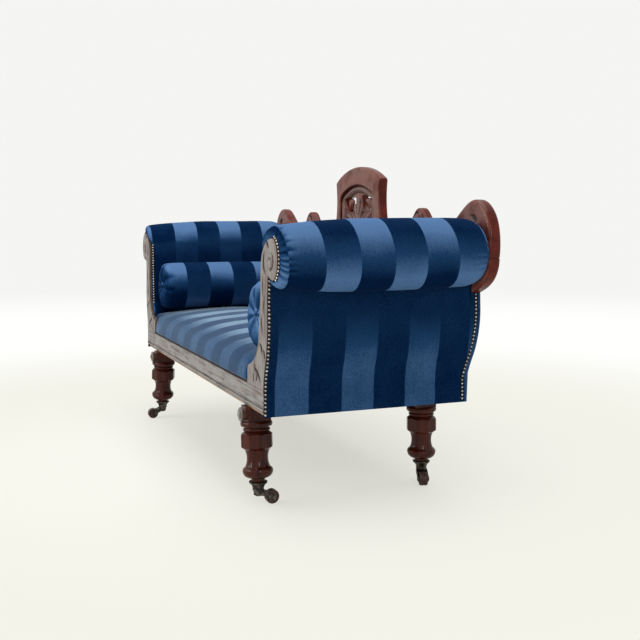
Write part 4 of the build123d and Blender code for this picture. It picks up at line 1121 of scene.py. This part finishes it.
def inside_held(point):
    """Where the inside back's cover is nailed or tucked away."""
    return point.y > 0.262 or point.z < 0.375 or abs(point.x) > inside_half - 0.015


velvet_back = velvet("velvet_back", "X", -0.038, nap_upright)
mesh = drawn_through("inside_back_slack", inside_rows, inside_stations, inside_place)
padded = stuffed(mesh, 0.009, inside_held, 0.006)
inside_back = link_piece("inside_back_cover", padded, material=velvet_back)
soften(inside_back)
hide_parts("back_pad")

outside_half = 0.7735
outside_heights = [0.2715, 0.30, 0.342] + list(np.linspace(0.356, 0.690, 44))
outside_section = [("outer", z) for z in outside_heights] + [("inner", z) for z in outside_heights[::-1]]


def outside_place(point, x):
    """Where a point of the outside back goes."""
    face, z = point
    y = back_edge(z) + (0.0055 if face == "outer" else 0.0004)
    if face == "outer":
        y += 0.002 * (1 - (x / outside_half) ** 8) * math.sin(math.pi * ease(z, 0.28, 0.69))
    end = stem_x(max(z, 0.342)) - outside_half
    return (x + math.copysign(max(0.0, end) * (abs(x) / outside_half) ** 12, x), y, z)


outside_stations = list(np.linspace(-outside_half, outside_half, 90))
mesh = drawn_through("outside_back_cover", outside_section, outside_stations, outside_place)
outside_back = link_piece("outside_back_cover", mesh, material=velvet_back)
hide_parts("outside_back")

# Bolsters: loose velvet tubes stuffed with down, gathered at both ends in deep pleats under a covered
# button; they lie on the seat against the arms and lift off.
bolster_low, bolster_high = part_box("bolster_right")
bolster_x = (bolster_low[0] + bolster_high[0]) / 2
bolster_y = (bolster_low[1] + bolster_high[1]) / 2
bolster_z = (bolster_low[2] + bolster_high[2]) / 2
bolster_half = (bolster_high[1] - bolster_low[1]) / 2 - 0.001
bolster_radius = 0.0925
bolster_turns = 120
button_radius = 0.0128
button_rise = 0.0062
button_turns = 32


def spun(bm, profile, steps):
    """Spin a profile of distances from and along the Y axis once round it."""
    verts = [bm.verts.new((radius, y, 0.0)) for radius, y in profile]
    edges = [bm.edges.new(pair) for pair in zip(verts, verts[1:])]
    turn = {"cent": (0, 0, 0), "axis": (0, 1, 0), "angle": 2 * math.pi, "steps": steps, "use_merge": True}
    bmesh.ops.spin(bm, geom=verts + edges, **turn)


def bolster_slack():
    """The tube before it is stuffed: its profile spun round its own axis."""
    ends = [(0.004, 0.0060), (0.012, 0.0055), (0.022, 0.0036), (0.036, 0.0018), (0.052, 0.0010)]
    ends += [(0.066, 0.0020), (0.077, 0.0050), (0.084, 0.0098), (0.0885, 0.0168), (0.0905, 0.0270)]
    depths = np.linspace(0.040, bolster_half, 22)
    barrel = [(bolster_radius - 0.003 * (1 - d / bolster_half) ** 4, d) for d in depths]
    half = [(r, bolster_half - d) for r, d in ends + barrel]
    bm = bmesh.new()
    spun(bm, half + [(r, -y) for r, y in half[-2::-1]], bolster_turns)
    bmesh.ops.holes_fill(bm, edges=[e for e in bm.edges if e.is_boundary])
    bmesh.ops.recalc_face_normals(bm, faces=bm.faces)
    return finished(bm, "bolster_slack")


def bolster_held(point):
    """Where the button ties the ends in."""
    return math.hypot(point.x, point.z) < 0.014


def gather(mesh, name, side, folds, depth, droop):
    """A copy of the stuffed tube laid on the seat, with soft folds at its ends and a drooping front."""
    bm = bmesh.new()
    bm.from_mesh(mesh)
    fold_shades = []
    for vert in bm.verts:
        x, y, z = vert.co
        radius = math.hypot(x, z)
        angle = math.atan2(z, x) + (0.5 if y > 0 else 0.0)
        wander = 0.9 * math.sin(2 * angle + 0.4) + 0.5 * math.sin(3 * angle + 1.3)
        uneven = 0.65 + 0.35 * math.sin(angle + 0.8)
        fold = uneven * (1 - abs(math.sin(folds * angle / 2 + wander))) ** 1.2
        end_share = ease(abs(y), bolster_half - 0.050, bolster_half - 0.012) * ease(radius, 0.008, 0.024)
        rim_share = 1 - ease(radius, 0.034, 0.094)
        fold_shades.append(fold * end_share)
        sunk = depth * fold * end_share * (0.15 + 0.85 * rim_share)
        swell = lump((x * side, y, z), 0.09, 0.0022) * ease(radius, 0.05, 0.09)
        scale = (radius - 0.45 * depth * fold * end_share * (1 - rim_share) + swell) / max(radius, 1e-6)
        lower = droop * ease(-y, bolster_half - 0.09, bolster_half) * ease(-z, -0.08, 0.09)
        y -= math.copysign(sunk, y)
        vert.co = (x * scale + side * bolster_x, y + bolster_y - 0.4 * lower, z * scale + bolster_z - lower)
    laid = finished(bm, name)
    # The folds' shares give painted shade in the folds of the gathered ends.
    laid.attributes.new("crease", "FLOAT", "POINT").data.foreach_set("value", fold_shades)
    return laid


def end_buttons(name, side):
    """A covered button at each end, spun from its domed profile and dimpled in the middle."""
    dome = [(0.0004, 0.92), (0.15, 0.97), (0.35, 1.0), (0.6, 0.93)]
    dome += [(0.82, 0.72), (0.95, 0.42), (1.0, 0.12), (0.96, -0.4)]
    bm = bmesh.new()
    for end in (-1, 1):
        base = bolster_y + end * (bolster_half - 0.0062)
        spun(bm, [(r * button_radius, base + end * h * button_rise) for r, h in dome], button_turns)
    bmesh.ops.holes_fill(bm, edges=[e for e in bm.edges if e.is_boundary])
    bmesh.ops.recalc_face_normals(bm, faces=bm.faces)
    bmesh.ops.translate(bm, verts=bm.verts, vec=(side * bolster_x, 0, bolster_z))
    return finished(bm, name)


def nap_on_bolster(tree, place, facing):
    """As on a roll, with painted shade below the middle; the right bolster's front end is painted with a
    sheen, the left one's with shade.
    """
    tone, contrast = nap_on_roll(tree, place, facing)
    tone = calc(tree, "MULTIPLY_ADD", fade(tree, facing["Z"], 0.75, -0.2), -0.55, tone)
    shine = calc(tree, "MULTIPLY_ADD", fade(tree, place["X"], -0.2, 0.2), 1.05, -0.3)
    return calc(tree, "MULTIPLY_ADD", fade(tree, facing["Y"], -0.3, -0.8), shine, tone), contrast


velvet_bolster = velvet("velvet_bolster", "Y", band_pitch - 0.004, nap_on_bolster)
stuffed_tube = stuffed(bolster_slack(), 0.005, bolster_held, 0.0035)
for name, side, folds, depth, droop in (("right", 1, 7, 0.012, 0.014), ("left", -1, 9, 0.007, 0.004)):
    cover = gather(stuffed_tube, f"bolster_cover_{name}", side, folds, depth, droop)
    tube = link_piece(cover.name, cover, f"bolster_{name}", velvet_bolster)
    soften(tube)
    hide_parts(f"bolster_{name}")
    covered = end_buttons(f"bolster_end_buttons_{name}", side)
    buttons = link_piece(covered.name, covered, f"bolster_{name}", velvet_bolster)
    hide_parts(f"bolster_buttons_{name}")

# Upholstery nails: domed nickelled heads driven close together through a narrow dark braid, along the cut
# edges of the velvet, down the facings, round the volutes and along the back edges of the outside arms.
nail_radius = 0.0034
nail_rise = 0.0026
braid_half = 0.0042
braid_rise = 0.0011
nickel = metal("nail_nickel", (0.29, 0.27, 0.245, 1), (0.60, 0.57, 0.53, 1), 0.34)
braid_cloth = cloth_weave("nail_braid", (0.007, 0.005, 0.005, 1), (0.028, 0.022, 0.019, 1), 520.0)
braid_bed = -0.0006
braid_top = 0.8 * braid_half
braid_section = [(-braid_half, braid_bed), (braid_half, braid_bed)]
braid_section += [(braid_top, braid_rise), (-braid_top, braid_rise)]
front_row = (0.279, 0.640)
back_row = (0.282, 0.592)
inner_row = (0.462, 0.700)


def spaced(points, pitch):
    """Points an even pitch apart along a line of points."""
    path = np.array(points)
    gone = np.concatenate([[0.0], np.cumsum(np.linalg.norm(np.diff(path, axis=0), axis=1))])
    marks = np.linspace(0.0, gone[-1], round(gone[-1] / pitch) + 1)
    return np.stack([np.interp(marks, gone, path[:, i]) for i in range(path.shape[1])], axis=1)


def drive_nails(bm, marks):
    """Add a domed head on the braid at each mark, facing its outward direction."""
    for place, out, _ in marks:
        seat_on = Vector(place) + Vector(out).normalized() * braid_rise * 0.8
        turn = Vector(out).to_track_quat("Z", "Y").to_matrix().to_4x4()
        at = Matrix.Translation(seat_on) @ turn @ Matrix.Diagonal((nail_radius, nail_radius, nail_rise, 1))
        made = bmesh.ops.create_uvsphere(bm, u_segments=9, v_segments=6, radius=1.0, matrix=at)["verts"]
        floor_side = [v for v in made if (at.inverted() @ v.co).z < -0.2]
        bmesh.ops.delete(bm, geom=floor_side, context="VERTS")


def braid_place(corner, mark):
    """Where a corner of the braid's section goes, at a mark of place, outward and crosswise direction."""
    across, rise = corner
    place, out, crosswise = (Vector(part) for part in mark)
    return place + out.normalized() * rise + crosswise.normalized() * across


def stem_marks(side, line_y, heights):
    """Marks down the outer side of an arm, at a distance from front to back that follows the height."""
    marks = []
    for z in heights:
        slope = (stem_x(z + 0.004) - stem_x(z - 0.004)) / 0.008 if z > 0.346 else 0.0
        x = stem_x(max(z, 0.342)) + (0.0018 if line_y(z) < facing_rear else 0.0004)
        marks.append(((side * x, line_y(z), z), (side, 0.0, -slope), (0.0, 1.0, 0.0)))
    return marks


def ring_marks(side):
    """Marks round the outer edge of a volute."""
    ring = []
    for i in range(61):
        angle = math.radians(-66 + 142 * i / 60)
        reach = volute_edge(angle) + 0.0054
        ring.append((roll_axis[0] + reach * math.cos(angle), roll_axis[1] + reach * math.sin(angle)))
    marks = []
    for x, z in spaced(ring, nail_pitch):
        outward = (side * (x - roll_axis[0]), 0.0, z - roll_axis[1])
        marks.append(((side * x, roll_front - 0.0004, z), (0.0, -1.0, 0.0), outward))
    return marks


def inner_marks(side):
    """Marks along the inner edge of a facing, on the rounded edge of the arm cover."""
    heights = np.arange(*inner_row, nail_pitch)
    edge = [float(np.interp(z, [p[1] for p in inside_line], [p[0] for p in inside_line])) for z in heights]
    marks = []
    for x, z in zip(edge, heights):
        marks.append(((side * (x + 0.0030), facing_rear + 0.0030, z), (-side, -1.0, 0.0), (side, -1.0, 0.0)))
    return marks


for name, side in (("right", 1), ("left", -1)):
    rows = [
        stem_marks(side, lambda z: panel_front + 0.0046, np.arange(*front_row, nail_pitch)),
        stem_marks(side, lambda z: back_edge(z) - 0.010, np.arange(*back_row, nail_pitch)),
        ring_marks(side),
        inner_marks(side),
    ]
    bm = bmesh.new()
    for marks in rows:
        drive_nails(bm, marks)
    link_piece(f"nails_{name}", finished(bm, f"nails_{name}"), material=nickel)
    for part, marks in zip(("front", "back", "volute", "inner"), rows):
        mesh = drawn_through(f"braid_{part}_{name}", braid_section, marks, braid_place)
        link_piece(mesh.name, mesh, material=braid_cloth)
